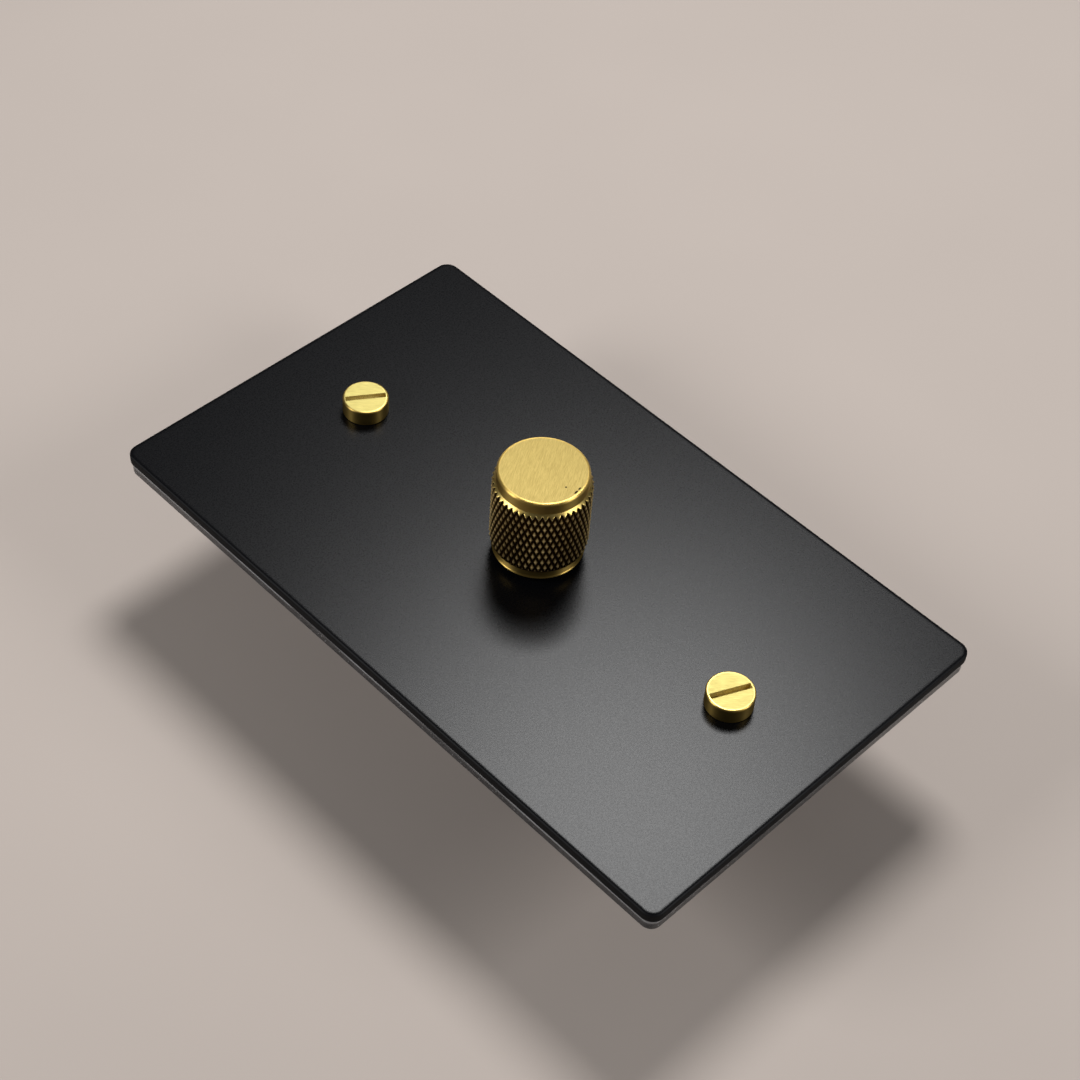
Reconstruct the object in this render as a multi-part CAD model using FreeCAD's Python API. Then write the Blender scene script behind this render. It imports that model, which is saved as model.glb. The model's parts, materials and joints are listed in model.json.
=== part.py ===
"""Rotary dimmer switch with a flat metal plate, a smoked backing plate and a knurled brass knob.

The origin is the centre of the wall plane, on the knob's axis. +Z points out of the wall towards
the person who turns the knob, and +Y runs along the plate's long side. All sizes are millimetres.
"""
import FreeCAD
import Part
import math
import os

Vector = FreeCAD.Vector
X_AXIS = Vector(1, 0, 0)
Y_AXIS = Vector(0, 1, 0)
Z_AXIS = Vector(0, 0, 1)

# Face plate: a thin sheet of metal with softly rounded corners and edges
PLATE_WIDTH = 72.5
PLATE_PAST_YOKE = 8.0
PLATE_THICKNESS = 1.75
PLATE_CORNER_RADIUS = 2.2
PLATE_EDGE_RADIUS = 0.25
PLATE_HOLE_GAP = 0.23

# Backing plate: the smoked layer that lifts the face plate off the wall
BACKING_THICKNESS = 2.5
BACKING_INSET = 0.3
BACKING_EDGE_CHAMFER = 0.3
BACKING_WINDOW_GAP = 0.4

# Slotted brass screws, at the pitch of the lugs in a single wall box
BOX_SCREW_PITCH = 83.34
SCREW_HEAD_RADIUS = 3.88
SCREW_HEAD_HEIGHT = 2.98
SCREW_HEAD_CHAMFER = 0.3
SCREW_SLOT_WIDTH = 1.0
SCREW_SLOT_DEPTH = 1.2
SCREW_SLOT_END_WALL = 0.45
UPPER_SLOT_ANGLE = -33.0
LOWER_SLOT_ANGLE = -24.0
SCREW_NECK_RADIUS = 1.5
SCREW_THREAD_RADIUS = 1.75
SCREW_THREAD_START = 0.1
SCREW_REACH = 20.0
SCREW_POINT_CHAMFER = 0.5
SCREW_HOLE_GAP = 0.4
RETAINER_RADIUS = 4.6
RETAINER_GAP = 0.05

# Mounting yoke: a flat aluminium strap that is also the heat sink
YOKE_THICKNESS = 1.5
YOKE_PAST_SCREWS = 10.83
YOKE_EAR_WIDTH = 24.0
YOKE_OVERHANG = 3.2
YOKE_CORNER_RADIUS = 3.0
YOKE_SLOT_WIDTH = 4.4
YOKE_SLOT_LENGTH = 6.6

# Knob: turned brass with a diamond knurl between a plain cap and a plain foot
KNOB_GAP = 1.0
KNOB_HEIGHT = 17.3
KNOB_FOOT_STEP = 0.5
KNOB_FOOT_HEIGHT = 1.9
KNOB_FOOT_CHAMFER = 0.3
KNOB_CAP_STEP = 0.65
KNOB_CAP_HEIGHT = 2.1
KNOB_CAP_EDGE_RADIUS = 0.45
KNOB_LEDGE_HEIGHT = 0.6
KNURL_CREST_RADIUS = 8.0
KNURL_DEPTH = 0.42
KNURL_COUNT = 48
KNURL_ROWS = 10
KNURL_RIM_STEP = 0.05
KNOB_RECESS_GAP = 0.8
GRUB_RADIUS = 1.5
GRUB_SINK = 0.6
GRUB_POINT_CHAMFER = 0.4
GRUB_SOCKET_RADIUS = 0.75
GRUB_SOCKET_DEPTH = 1.4
PUSH_TRAVEL = 0.7
PUSH_MARGIN = 0.4

# Shaft and the threaded bushing that carries it
SHAFT_RADIUS = 3.0
SHAFT_FLAT_DEPTH = 0.5
SHAFT_NECK_RADIUS = 2.5
SHAFT_KEY_DEPTH = 0.6
SHAFT_TAIL_RADIUS = 1.6
SHAFT_TIP_CLEARANCE = 0.3
SHAFT_TOP_WALL = 5.0
RUNNING_GAP = 0.05
BUSHING_RADIUS = 3.5
BUSHING_HEIGHT = 6.5
BUSHING_END_CHAMFER = 0.45
BUSHING_HOLE_GAP = 0.1
CLIP_RADIUS = 4.4
CLIP_THICKNESS = 0.6
CLIP_GROOVE_DEPTH = 0.4
CLIP_MOUTH = 2.2
CLIP_PAD_ANGLES = (90, 200, 340)
CLIP_PAD_SPREAD = 40
NUT_ACROSS_FLATS = 10.0
NUT_THICKNESS = 1.9
LOCK_WASHER_RADIUS = 5.4
LOCK_WASHER_THICKNESS = 0.5
LOCK_WASHER_TEETH = 8

# Control: a turning resistor with a push switch behind it
CONTROL_RADIUS = 8.5
CONTROL_WALL = 0.8
FLANGE_THICKNESS = 1.2
CLIP_CHAMBER_DEPTH = 1.7
ROTOR_THICKNESS = 3.5
CLIP_ROOM = 0.95
ROTOR_RIM_GAP = 0.65
TURN_EACH_WAY = 135.0
STOP_ANGLE = 48.0
STOP_SPARE_ANGLE = 1.0
WIPER_SPACE = 0.6
WIPER_THICKNESS = 0.2
WIPER_INNER_RADIUS = 3.4
WIPER_RING_WIDTH = 1.0
WIPER_OUTER_RADIUS = 6.2
WIPER_ARM_ANGLE = 36.0
WIPER_TIP_RADIUS = 0.4
WAFER_THICKNESS = 1.0
WAFER_HOLE_GAP = 0.4
WAFER_PIN_PITCH = 3.0
WAFER_PIN_WIDTH = 0.9
WAFER_PIN_INSET = 0.7
SWITCH_HEIGHT = 4.0
SWITCH_FLOOR = 1.0
SWITCH_FLAT_INSET = 1.9
PLUNGER_THICKNESS = 1.0
PLUNGER_NUB_RADIUS = 1.2
DOME_RADIUS = 4.3
DOME_ROOM = 0.7
DOME_RISE = 0.9
DOME_THICKNESS = 0.12
DOME_STEEPNESS = 0.7
CONTACT_RADIUS = 0.6
LEG_WIDTH = 3.0
LEG_THICKNESS = 0.6

# Circuit board and the parts on it
BOARD_THICKNESS = 1.6
BOARD_EDGE_MARGIN = 1.5
BOARD_TO_WALL = 0.3
PART_GAP = 2.0
PIN_RADIUS = 0.35
PIN_STICK_OUT = 0.8
PIN_HOLE_GAP = 0.1
CHOKE_CORE_RADIUS = 8.6
CHOKE_CORE_HOLE = 4.6
CHOKE_CORE_HEIGHT = 6.2
CHOKE_WIRE = 0.9
CHOKE_WIRE_GAP = 0.05
CHOKE_OPEN_ANGLE = 50.0
FILM_CAPACITOR_WIDTH = 7.0
FILM_CAPACITOR_LENGTH = 17.0
FILM_CAPACITOR_HEIGHT = 10.0
TIMING_CAPACITOR_WIDTH = 3.0
TIMING_CAPACITOR_LENGTH = 7.2
TIMING_CAPACITOR_HEIGHT = 6.5
TIMING_CAPACITOR_GAP = 0.6
FUSE_RADIUS = 2.6
FUSE_LENGTH = 20.0
FUSE_CAP_LENGTH = 5.0
FUSE_CAP_STEP = 0.15
FUSE_LIFT = 1.0
FUSE_CLIP_WIDTH = 3.6
FUSE_CLIP_THICKNESS = 0.4
RESISTOR_RADIUS = 1.2
RESISTOR_LENGTH = 6.0
RESISTOR_SPAN = 8.0
RESISTOR_PITCH = 3.6
RESISTOR_END_SWELL = 0.2
DIODE_RADIUS = 0.9
DIODE_LENGTH = 3.8
DIODE_SPAN = 6.4

# Power switch, cooled by the yoke
TRIAC_WIDTH = 10.0
TRIAC_BODY_LENGTH = 9.2
TRIAC_TAB_LENGTH = 6.3
TRIAC_THICKNESS = 4.4
TRIAC_TAB_THICKNESS = 1.3
TRIAC_TAB_HOLE_RADIUS = 1.8
TRIAC_LEG_PITCH = 2.54
TRIAC_LEG_WIDTH = 0.8
TRIAC_LEG_THICKNESS = 0.5
TRIAC_LEG_REACH = 2.0
TRIAC_LEG_DEPTH = 2.64
PAD_THICKNESS = 0.3
PAD_MARGIN = 0.5
TRIAC_SCREW_RADIUS = 1.5
TRIAC_NUT_ACROSS_FLATS = 5.5
TRIAC_NUT_THICKNESS = 2.4

# Housing behind the wall plane
COVER_THICKNESS = 1.6
COVER_LIP_HEIGHT = 1.5
COVER_LIP_THICKNESS = 1.2
COVER_LIP_GAP = 0.15
COVER_POST_RADIUS = 1.3
COVER_POST_GAP = 1.1
HOUSING_WALL = 1.8
HOUSING_CORNER_RADIUS = 3.0
HOUSING_EDGE_RADIUS = 1.2
REAR_SPACE = 7.0
BOSS_RADIUS = 2.8
BOSS_OFFSET = 1.2
RIB_THICKNESS = 1.2
RIB_REACH = 1.6
RIB_Y = 12.0
HOUSING_SCREW_RADIUS = 1.25
HOUSING_SCREW_LENGTH = 12.0
PILOT_SPARE_DEPTH = 1.0
COUNTERSINK_DEPTH = 1.25
CROSS_WIDTH = 0.7
CROSS_LENGTH = 2.6
CROSS_DEPTH = 0.8
GAUGE_LENGTH = 10.0
GAUGE_WIDTH = 2.4
GAUGE_DEPTH = 0.4

# Terminals for the building's wires
TERMINAL_COUNT = 3
TERMINAL_PITCH = 8.2
TERMINAL_BLOCK_MARGIN = 0.4
TERMINAL_BLOCK_LENGTH = 10.4
TERMINAL_END_RECESS = 0.4
TERMINAL_FRONT_WALL = 1.0
CLAMP_WIDTH = 6.0
CLAMP_LENGTH = 7.0
CLAMP_HEIGHT = 5.0
CLAMP_GAP = 0.1
WIRE_HOLE_RADIUS = 1.75
WIRE_ENTRY_CHAMFER = 0.5
TERMINAL_SCREW_RADIUS = 1.4
TERMINAL_SCREW_HEAD_RADIUS = 2.2
TERMINAL_SCREW_HEAD_HEIGHT = 1.2
TERMINAL_SLOT_WIDTH = 0.7
TERMINAL_SLOT_DEPTH = 0.7
SCREW_WELL_GAP = 0.3

# Lengths of the flat pieces, worked out from the pitch of the screws
BOX_SCREW_Y = BOX_SCREW_PITCH / 2
YOKE_LENGTH = BOX_SCREW_PITCH + 2 * YOKE_PAST_SCREWS
PLATE_LENGTH = YOKE_LENGTH + 2 * PLATE_PAST_YOKE
NUT_CORNER_RADIUS = NUT_ACROSS_FLATS / math.sqrt(3)
PLATE_SHAFT_HOLE_RADIUS = NUT_CORNER_RADIUS + PLATE_HOLE_GAP

# Radii of the knob, the shaft and the control, worked out from the pieces that they fit
KNOB_FOOT_RADIUS = KNURL_CREST_RADIUS - KNOB_FOOT_STEP
KNOB_CAP_RADIUS = KNURL_CREST_RADIUS - KNOB_CAP_STEP
SHAFT_FLAT = SHAFT_RADIUS - SHAFT_FLAT_DEPTH
SHAFT_KEY_FLAT = SHAFT_NECK_RADIUS - SHAFT_KEY_DEPTH
ROTOR_RADIUS = CONTROL_RADIUS - CONTROL_WALL - ROTOR_RIM_GAP
ROTOR_RIM_INNER_RADIUS = CLIP_RADIUS + CLIP_ROOM
WAFER_HOLE_RADIUS = SHAFT_TAIL_RADIUS + WAFER_HOLE_GAP
SWITCH_POCKET_RADIUS = DOME_RADIUS + DOME_ROOM

# Heights, worked out from the wall plane outwards
PLATE_REAR_Z = BACKING_THICKNESS
PLATE_FACE_Z = PLATE_REAR_Z + PLATE_THICKNESS
KNOB_BASE_Z = PLATE_FACE_Z + KNOB_GAP
KNOB_TOP_Z = KNOB_BASE_Z + KNOB_HEIGHT
CAP_ROOT_Z = KNOB_TOP_Z - KNOB_CAP_HEIGHT
KNURL_LOW_Z = KNOB_BASE_Z + KNOB_FOOT_HEIGHT
KNURL_HIGH_Z = CAP_ROOT_Z - KNOB_LEDGE_HEIGHT
SHAFT_TOP_Z = KNOB_TOP_Z - SHAFT_TOP_WALL
SHAFT_SHOULDER_Z = BUSHING_HEIGHT + PUSH_TRAVEL + PUSH_MARGIN
NUT_LOW_Z = YOKE_THICKNESS + LOCK_WASHER_THICKNESS

# Heights, worked out from the wall plane inwards
FLANGE_TOP_Z = -COVER_THICKNESS
FLANGE_LOW_Z = FLANGE_TOP_Z - FLANGE_THICKNESS
ROTOR_TOP_Z = FLANGE_LOW_Z - CLIP_CHAMBER_DEPTH
ROTOR_LOW_Z = ROTOR_TOP_Z - ROTOR_THICKNESS
WAFER_TOP_Z = ROTOR_LOW_Z - WIPER_SPACE
WAFER_LOW_Z = WAFER_TOP_Z - WAFER_THICKNESS
BOARD_TOP_Z = WAFER_LOW_Z - SWITCH_HEIGHT
SWITCH_FLOOR_Z = BOARD_TOP_Z + SWITCH_FLOOR
DOME_TOP_Z = SWITCH_FLOOR_Z + DOME_RISE
PLUNGER_TOP_Z = DOME_TOP_Z + RUNNING_GAP + PLUNGER_THICKNESS
SHAFT_TAIL_Z = PLUNGER_TOP_Z + RUNNING_GAP
BOARD_LOW_Z = BOARD_TOP_Z - BOARD_THICKNESS
PIN_END_Z = BOARD_LOW_Z - PIN_STICK_OUT
REAR_WALL_Z = BOARD_LOW_Z - REAR_SPACE
HOUSING_REAR_Z = REAR_WALL_Z - HOUSING_WALL

# Board and housing outlines, worked out from the parts that have to fit side by side
CHOKE_RADIUS = CHOKE_CORE_RADIUS + CHOKE_WIRE
CHOKE_ROW_HALF_WIDTH = (2 * CHOKE_RADIUS + PART_GAP + FILM_CAPACITOR_WIDTH) / 2 + BOARD_EDGE_MARGIN + PART_GAP
TIMING_ROOM = TIMING_CAPACITOR_WIDTH + 2 * TIMING_CAPACITOR_GAP
CONTROL_ROW_HALF_WIDTH = CONTROL_RADIUS + TIMING_ROOM + 2 * COVER_POST_RADIUS + BOARD_EDGE_MARGIN
BLOCK_HALF_WIDTH = TERMINAL_COUNT * TERMINAL_PITCH / 2 + TERMINAL_BLOCK_MARGIN
BLOCK_ROW_HALF_WIDTH = BLOCK_HALF_WIDTH + 2 * PIN_RADIUS + FUSE_RADIUS + BOARD_EDGE_MARGIN
BOARD_HALF_WIDTH = max(CHOKE_ROW_HALF_WIDTH, CONTROL_ROW_HALF_WIDTH, BLOCK_ROW_HALF_WIDTH)
BOARD_HALF_LENGTH = CONTROL_RADIUS + PART_GAP + 2 * CHOKE_RADIUS + BOARD_EDGE_MARGIN
HOUSING_HALF_WIDTH = BOARD_HALF_WIDTH + BOARD_TO_WALL + HOUSING_WALL
HOUSING_HALF_LENGTH = BOARD_HALF_LENGTH + BOARD_TO_WALL + HOUSING_WALL
BOSS_X = BOARD_HALF_WIDTH - BOSS_OFFSET
BOSS_Y = BOARD_HALF_LENGTH - BOSS_OFFSET
CORNER_KEEP = BOSS_OFFSET + BOSS_RADIUS + 2 * BOARD_TO_WALL

# Places of the parts on the board
CHOKE_X = BOARD_EDGE_MARGIN + CHOKE_RADIUS - BOARD_HALF_WIDTH
CHOKE_Y = BOARD_HALF_LENGTH - BOARD_EDGE_MARGIN - CHOKE_RADIUS
FILM_X = BOARD_HALF_WIDTH - BOARD_EDGE_MARGIN - FILM_CAPACITOR_WIDTH / 2
FILM_Y = BOARD_HALF_LENGTH - CORNER_KEEP - FILM_CAPACITOR_LENGTH / 2
FUSE_X = BOARD_HALF_WIDTH - BOARD_EDGE_MARGIN - FUSE_RADIUS
FUSE_Y = CORNER_KEEP + FUSE_LENGTH / 2 - BOARD_HALF_LENGTH
FUSE_Z = BOARD_TOP_Z + FUSE_LIFT + FUSE_RADIUS
TRIAC_X = BOARD_EDGE_MARGIN + TRIAC_WIDTH / 2 - BOARD_HALF_WIDTH
TRIAC_LOW_Y = CORNER_KEEP - BOARD_HALF_LENGTH
TRIAC_BODY_Y = TRIAC_LOW_Y + TRIAC_TAB_LENGTH
TRIAC_HIGH_Y = TRIAC_BODY_Y + TRIAC_BODY_LENGTH
TRIAC_SCREW_Y = TRIAC_LOW_Y + TRIAC_TAB_LENGTH / 2
POST_X = BOARD_HALF_WIDTH - BOARD_EDGE_MARGIN - COVER_POST_RADIUS
POST_LOW_Y = FUSE_Y + FUSE_LENGTH / 2 + COVER_POST_GAP + COVER_POST_RADIUS
POST_HIGH_Y = FILM_Y - FILM_CAPACITOR_LENGTH / 2 - COVER_POST_GAP - COVER_POST_RADIUS
SMALL_PARTS_LOW_X = TRIAC_X + TRIAC_WIDTH / 2 + PART_GAP
SMALL_PARTS_HIGH_X = FUSE_X - FUSE_RADIUS - PART_GAP
SMALL_PARTS_X = (SMALL_PARTS_LOW_X + SMALL_PARTS_HIGH_X) / 2
TIMING_X = -CONTROL_RADIUS - TIMING_CAPACITOR_GAP - TIMING_CAPACITOR_WIDTH / 2
DIODE_Y = -CONTROL_RADIUS - LEG_THICKNESS - PART_GAP - DIODE_RADIUS
RESISTOR_HIGH_Y = DIODE_Y - DIODE_RADIUS - PART_GAP - RESISTOR_RADIUS
RESISTOR_LOW_Y = RESISTOR_HIGH_Y - RESISTOR_PITCH
BLOCK_END_Y = TERMINAL_END_RECESS - HOUSING_HALF_LENGTH
BLOCK_FRONT_Y = BLOCK_END_Y + TERMINAL_BLOCK_LENGTH
CLAMP_LOW_Z = BOARD_LOW_Z - CLAMP_HEIGHT - CLAMP_GAP
CLAMP_END_Y = BLOCK_FRONT_Y - CLAMP_GAP - CLAMP_LENGTH - TERMINAL_FRONT_WALL


def upright(radius, low, high, x=0.0, y=0.0):
    """A cylinder that stands along Z between two heights."""
    return Part.makeCylinder(radius, high - low, Vector(x, y, low), Z_AXIS)


def box(x_low, x_high, y_low, y_high, z_low, z_high):
    return Part.makeBox(x_high - x_low, y_high - y_low, z_high - z_low, Vector(x_low, y_low, z_low))


def rounded_outline(half_width, half_length, radius, z):
    """A closed wire: a rectangle with four arcs at its corners."""
    straight_x = half_width - radius
    straight_y = half_length - radius
    diagonal = radius * math.sqrt(0.5)
    edges = []
    corners = [(1, -1), (1, 1), (-1, 1), (-1, -1)]
    ends = []
    for sign_x, sign_y in corners:
        centre_x = sign_x * straight_x
        centre_y = sign_y * straight_y
        side_point = Vector(centre_x + sign_x * radius, centre_y, z)
        end_point = Vector(centre_x, centre_y + sign_y * radius, z)
        middle = Vector(centre_x + sign_x * diagonal, centre_y + sign_y * diagonal, z)
        first, last = (end_point, side_point) if sign_x * sign_y < 0 else (side_point, end_point)
        edges.append(Part.Arc(first, middle, last).toShape())
        ends.append((first, last))
    for index in range(4):
        start = ends[index][1]
        finish = ends[(index + 1) % 4][0]
        edges.append(Part.makeLine(start, finish))
    return Part.Wire(Part.__sortEdges__(edges))


def rounded_slab(half_width, half_length, radius, low, high):
    """A flat slab with rounded corners."""
    outline = rounded_outline(half_width, half_length, radius, low)
    return Part.Face(outline).extrude(Vector(0, 0, high - low))


def edges_at_height(shape, z):
    """The edges that lie flat at one height."""
    found = []
    for edge in shape.Edges:
        if abs(edge.BoundBox.ZMin - z) < 1e-5 and abs(edge.BoundBox.ZMax - z) < 1e-5:
            found.append(edge)
    return found


def turned(points):
    """A solid of revolution about Z from (radius, height) points, closed along the list."""
    corners = [Vector(radius, 0, height) for radius, height in points]
    profile = Part.Face(Part.makePolygon(corners + corners[:1]))
    return profile.revolve(Vector(0, 0, 0), Z_AXIS, 360)


def hexagon(across_flats, low, high, x=0.0, y=0.0):
    corner_radius = across_flats / math.sqrt(3)
    corners = []
    for index in range(6):
        angle = math.radians(60 * index)
        corners.append(Vector(x + corner_radius * math.cos(angle), y + corner_radius * math.sin(angle), low))
    return Part.Face(Part.makePolygon(corners + corners[:1])).extrude(Vector(0, 0, high - low))


def nut(across_flats, bore_radius, low, high, x=0.0, y=0.0):
    """A hexagon nut whose corners are turned off at both faces."""
    body = hexagon(across_flats, low, high)
    corner_radius = across_flats / math.sqrt(3)
    face_radius = across_flats / 2
    slope = (corner_radius - face_radius) / 2
    turning = turned([(0, low), (face_radius, low), (corner_radius, low + slope),
                      (corner_radius, high - slope), (face_radius, high), (0, high)])
    body = body.common(turning).cut(upright(bore_radius, low, high))
    body.translate(Vector(x, y, 0))
    return body


def sector(inner, outer, low, high, middle_angle, angle):
    """A piece of a ring, spread evenly about one direction."""
    ring = Part.makeCylinder(outer, high - low, Vector(0, 0, low), Z_AXIS, angle)
    if inner > 0:
        ring = ring.cut(upright(inner, low, high))
    ring.rotate(Vector(0, 0, 0), Z_AXIS, middle_angle - angle / 2)
    return ring


def pin_holes(places, extra=PIN_HOLE_GAP):
    """Round holes through the board for the leads at the given places."""
    return [upright(PIN_RADIUS + extra, BOARD_LOW_Z, BOARD_TOP_Z, x, y) for x, y in places]


def cut_all(body, tools):
    return body.cut(Part.makeCompound(tools))


def yoke_outline_parts(grow, low, high):
    """The strap's outline: a wide middle over the housing and two narrower ears."""
    middle_half_width = HOUSING_HALF_WIDTH + YOKE_OVERHANG + grow
    middle_half_length = HOUSING_HALF_LENGTH + YOKE_OVERHANG + grow
    corner = YOKE_CORNER_RADIUS + grow
    middle = rounded_slab(middle_half_width, middle_half_length, corner, low, high)
    ears = rounded_slab(YOKE_EAR_WIDTH / 2 + grow, YOKE_LENGTH / 2 + grow, corner, low, high)
    return middle.fuse(ears).removeSplitter()


def make_face_plate():
    plate = rounded_slab(PLATE_WIDTH / 2, PLATE_LENGTH / 2, PLATE_CORNER_RADIUS, PLATE_REAR_Z, PLATE_FACE_Z)
    plate = plate.makeFillet(PLATE_EDGE_RADIUS, edges_at_height(plate, PLATE_FACE_Z))
    holes = [upright(PLATE_SHAFT_HOLE_RADIUS, PLATE_REAR_Z, PLATE_FACE_Z)]
    for y in (BOX_SCREW_Y, -BOX_SCREW_Y):
        holes.append(upright(SCREW_NECK_RADIUS + SCREW_HOLE_GAP, PLATE_REAR_Z, PLATE_FACE_Z, 0, y))
    return cut_all(plate, holes)


def make_backing_plate():
    half_width = PLATE_WIDTH / 2 - BACKING_INSET
    half_length = PLATE_LENGTH / 2 - BACKING_INSET
    slab = rounded_slab(half_width, half_length, PLATE_CORNER_RADIUS - BACKING_INSET, 0, BACKING_THICKNESS)
    rims = edges_at_height(slab, 0) + edges_at_height(slab, BACKING_THICKNESS)
    slab = slab.makeChamfer(BACKING_EDGE_CHAMFER, rims)
    return slab.cut(yoke_outline_parts(BACKING_WINDOW_GAP, 0, BACKING_THICKNESS))


def slotted_head(radius, low, high, chamfer, slot_width, slot_depth, slot_length, angle):
    """A cheese head with a bevelled rim and a slot that stops short of the rim."""
    head = turned([(0, low), (radius, low), (radius, high - chamfer), (radius - chamfer, high), (0, high)])
    half = slot_length / 2
    slot = box(-half, half, -slot_width / 2, slot_width / 2, high - slot_depth, high)
    slot.rotate(Vector(0, 0, 0), Z_AXIS, angle)
    return head.cut(slot)


def make_face_plate_screw(y, angle):
    """A long machine screw; the neck under the head is thinner than the thread."""
    head_top = PLATE_FACE_Z + SCREW_HEAD_HEIGHT
    slot_length = 2 * (SCREW_HEAD_RADIUS - SCREW_SLOT_END_WALL)
    head = slotted_head(SCREW_HEAD_RADIUS, PLATE_FACE_Z, head_top, SCREW_HEAD_CHAMFER,
                        SCREW_SLOT_WIDTH, SCREW_SLOT_DEPTH, slot_length, angle)
    stem = turned([(0, PLATE_FACE_Z), (SCREW_NECK_RADIUS, PLATE_FACE_Z),
                   (SCREW_NECK_RADIUS, -SCREW_THREAD_START), (SCREW_THREAD_RADIUS, -SCREW_THREAD_START),
                   (SCREW_THREAD_RADIUS, SCREW_POINT_CHAMFER - SCREW_REACH),
                   (SCREW_THREAD_RADIUS - SCREW_POINT_CHAMFER, -SCREW_REACH), (0, -SCREW_REACH)])
    screw = head.fuse(stem)
    screw.translate(Vector(0, y, 0))
    return screw


def make_screw_retainer(y):
    """A fibre washer that keeps the screw in the plate and fills the space in front of the yoke."""
    washer = upright(RETAINER_RADIUS, YOKE_THICKNESS, PLATE_REAR_Z, 0, y)
    return washer.cut(upright(SCREW_NECK_RADIUS + RETAINER_GAP, YOKE_THICKNESS, PLATE_REAR_Z, 0, y))


def make_face_plate_screws():
    upper = make_face_plate_screw(BOX_SCREW_Y, UPPER_SLOT_ANGLE)
    lower = make_face_plate_screw(-BOX_SCREW_Y, LOWER_SLOT_ANGLE)
    return Part.makeCompound([upper, lower])


def make_screw_retainers():
    return Part.makeCompound([make_screw_retainer(BOX_SCREW_Y), make_screw_retainer(-BOX_SCREW_Y)])


def make_yoke():
    yoke = yoke_outline_parts(0, 0, YOKE_THICKNESS)
    tools = [upright(BUSHING_RADIUS + BUSHING_HOLE_GAP, 0, YOKE_THICKNESS)]
    for y in (BOX_SCREW_Y, -BOX_SCREW_Y):
        half_straight = (YOKE_SLOT_LENGTH - YOKE_SLOT_WIDTH) / 2
        tools.append(box(-half_straight, half_straight, y - YOKE_SLOT_WIDTH / 2, y + YOKE_SLOT_WIDTH / 2,
                         0, YOKE_THICKNESS))
        for x in (-half_straight, half_straight):
            tools.append(upright(YOKE_SLOT_WIDTH / 2, 0, YOKE_THICKNESS, x, y))
    for x, y in boss_places():
        tools.append(countersink(HOUSING_SCREW_RADIUS, x, y))
    tools.append(countersink(TRIAC_SCREW_RADIUS, TRIAC_X, TRIAC_SCREW_Y))
    return cut_all(yoke, tools)


def countersink(radius, x, y):
    """A clearance hole through the yoke that opens into a cone for a flush head."""
    hole_radius = radius + PIN_HOLE_GAP
    cone_low = YOKE_THICKNESS - COUNTERSINK_DEPTH
    tool = turned([(0, 0), (hole_radius, 0), (hole_radius, cone_low),
                   (hole_radius + COUNTERSINK_DEPTH, YOKE_THICKNESS), (0, YOKE_THICKNESS)])
    tool.translate(Vector(x, y, 0))
    return tool


def countersunk_screw(radius, low, x, y):
    """A screw whose cone-shaped head ends flush with the yoke."""
    cone_low = YOKE_THICKNESS - COUNTERSINK_DEPTH
    point = radius / 2
    screw = turned([(0, low), (radius - point, low), (radius, low + point), (radius, cone_low),
                    (radius + COUNTERSINK_DEPTH, YOKE_THICKNESS), (0, YOKE_THICKNESS)])
    half = CROSS_LENGTH / 2
    half_width = CROSS_WIDTH / 2
    cross_low = YOKE_THICKNESS - CROSS_DEPTH
    cross = box(-half, half, -half_width, half_width, cross_low, YOKE_THICKNESS)
    cross = cross.fuse(box(-half_width, half_width, -half, half, cross_low, YOKE_THICKNESS))
    screw = screw.cut(cross)
    screw.translate(Vector(x, y, 0))
    return screw


def boss_places():
    return [(BOSS_X, BOSS_Y), (-BOSS_X, BOSS_Y), (-BOSS_X, -BOSS_Y), (BOSS_X, -BOSS_Y)]


def make_housing_screws():
    low = YOKE_THICKNESS - HOUSING_SCREW_LENGTH
    screws = []
    for x, y in boss_places():
        screws.append(countersunk_screw(HOUSING_SCREW_RADIUS, low, x, y))
    return Part.makeCompound(screws)


def make_lock_washer():
    """A toothed washer under the bushing's nut."""
    low = YOKE_THICKNESS
    high = YOKE_THICKNESS + LOCK_WASHER_THICKNESS
    washer = upright(LOCK_WASHER_RADIUS, low, high)
    tools = [upright(BUSHING_RADIUS + BUSHING_HOLE_GAP, low, high)]
    notch_radius = LOCK_WASHER_RADIUS * math.pi / LOCK_WASHER_TEETH / 2
    for index in range(LOCK_WASHER_TEETH):
        angle = 2 * math.pi * index / LOCK_WASHER_TEETH
        tools.append(upright(notch_radius, low, high, LOCK_WASHER_RADIUS * math.cos(angle),
                             LOCK_WASHER_RADIUS * math.sin(angle)))
    return cut_all(washer, tools)


def make_bushing_nut():
    return nut(NUT_ACROSS_FLATS, BUSHING_RADIUS + RUNNING_GAP, NUT_LOW_Z, NUT_LOW_Z + NUT_THICKNESS)


def leg_angles():
    return [45, 135, 225, 315]


def control_leg(angle, width, low, high, gap=0.0):
    """One upright strip beside the control's case."""
    inner = CONTROL_RADIUS + RUNNING_GAP - gap
    outer = CONTROL_RADIUS + RUNNING_GAP + LEG_THICKNESS + gap
    half = width / 2 + gap
    leg = box(inner, outer, -half, half, low, high)
    leg.rotate(Vector(0, 0, 0), Z_AXIS, angle)
    return leg


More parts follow.
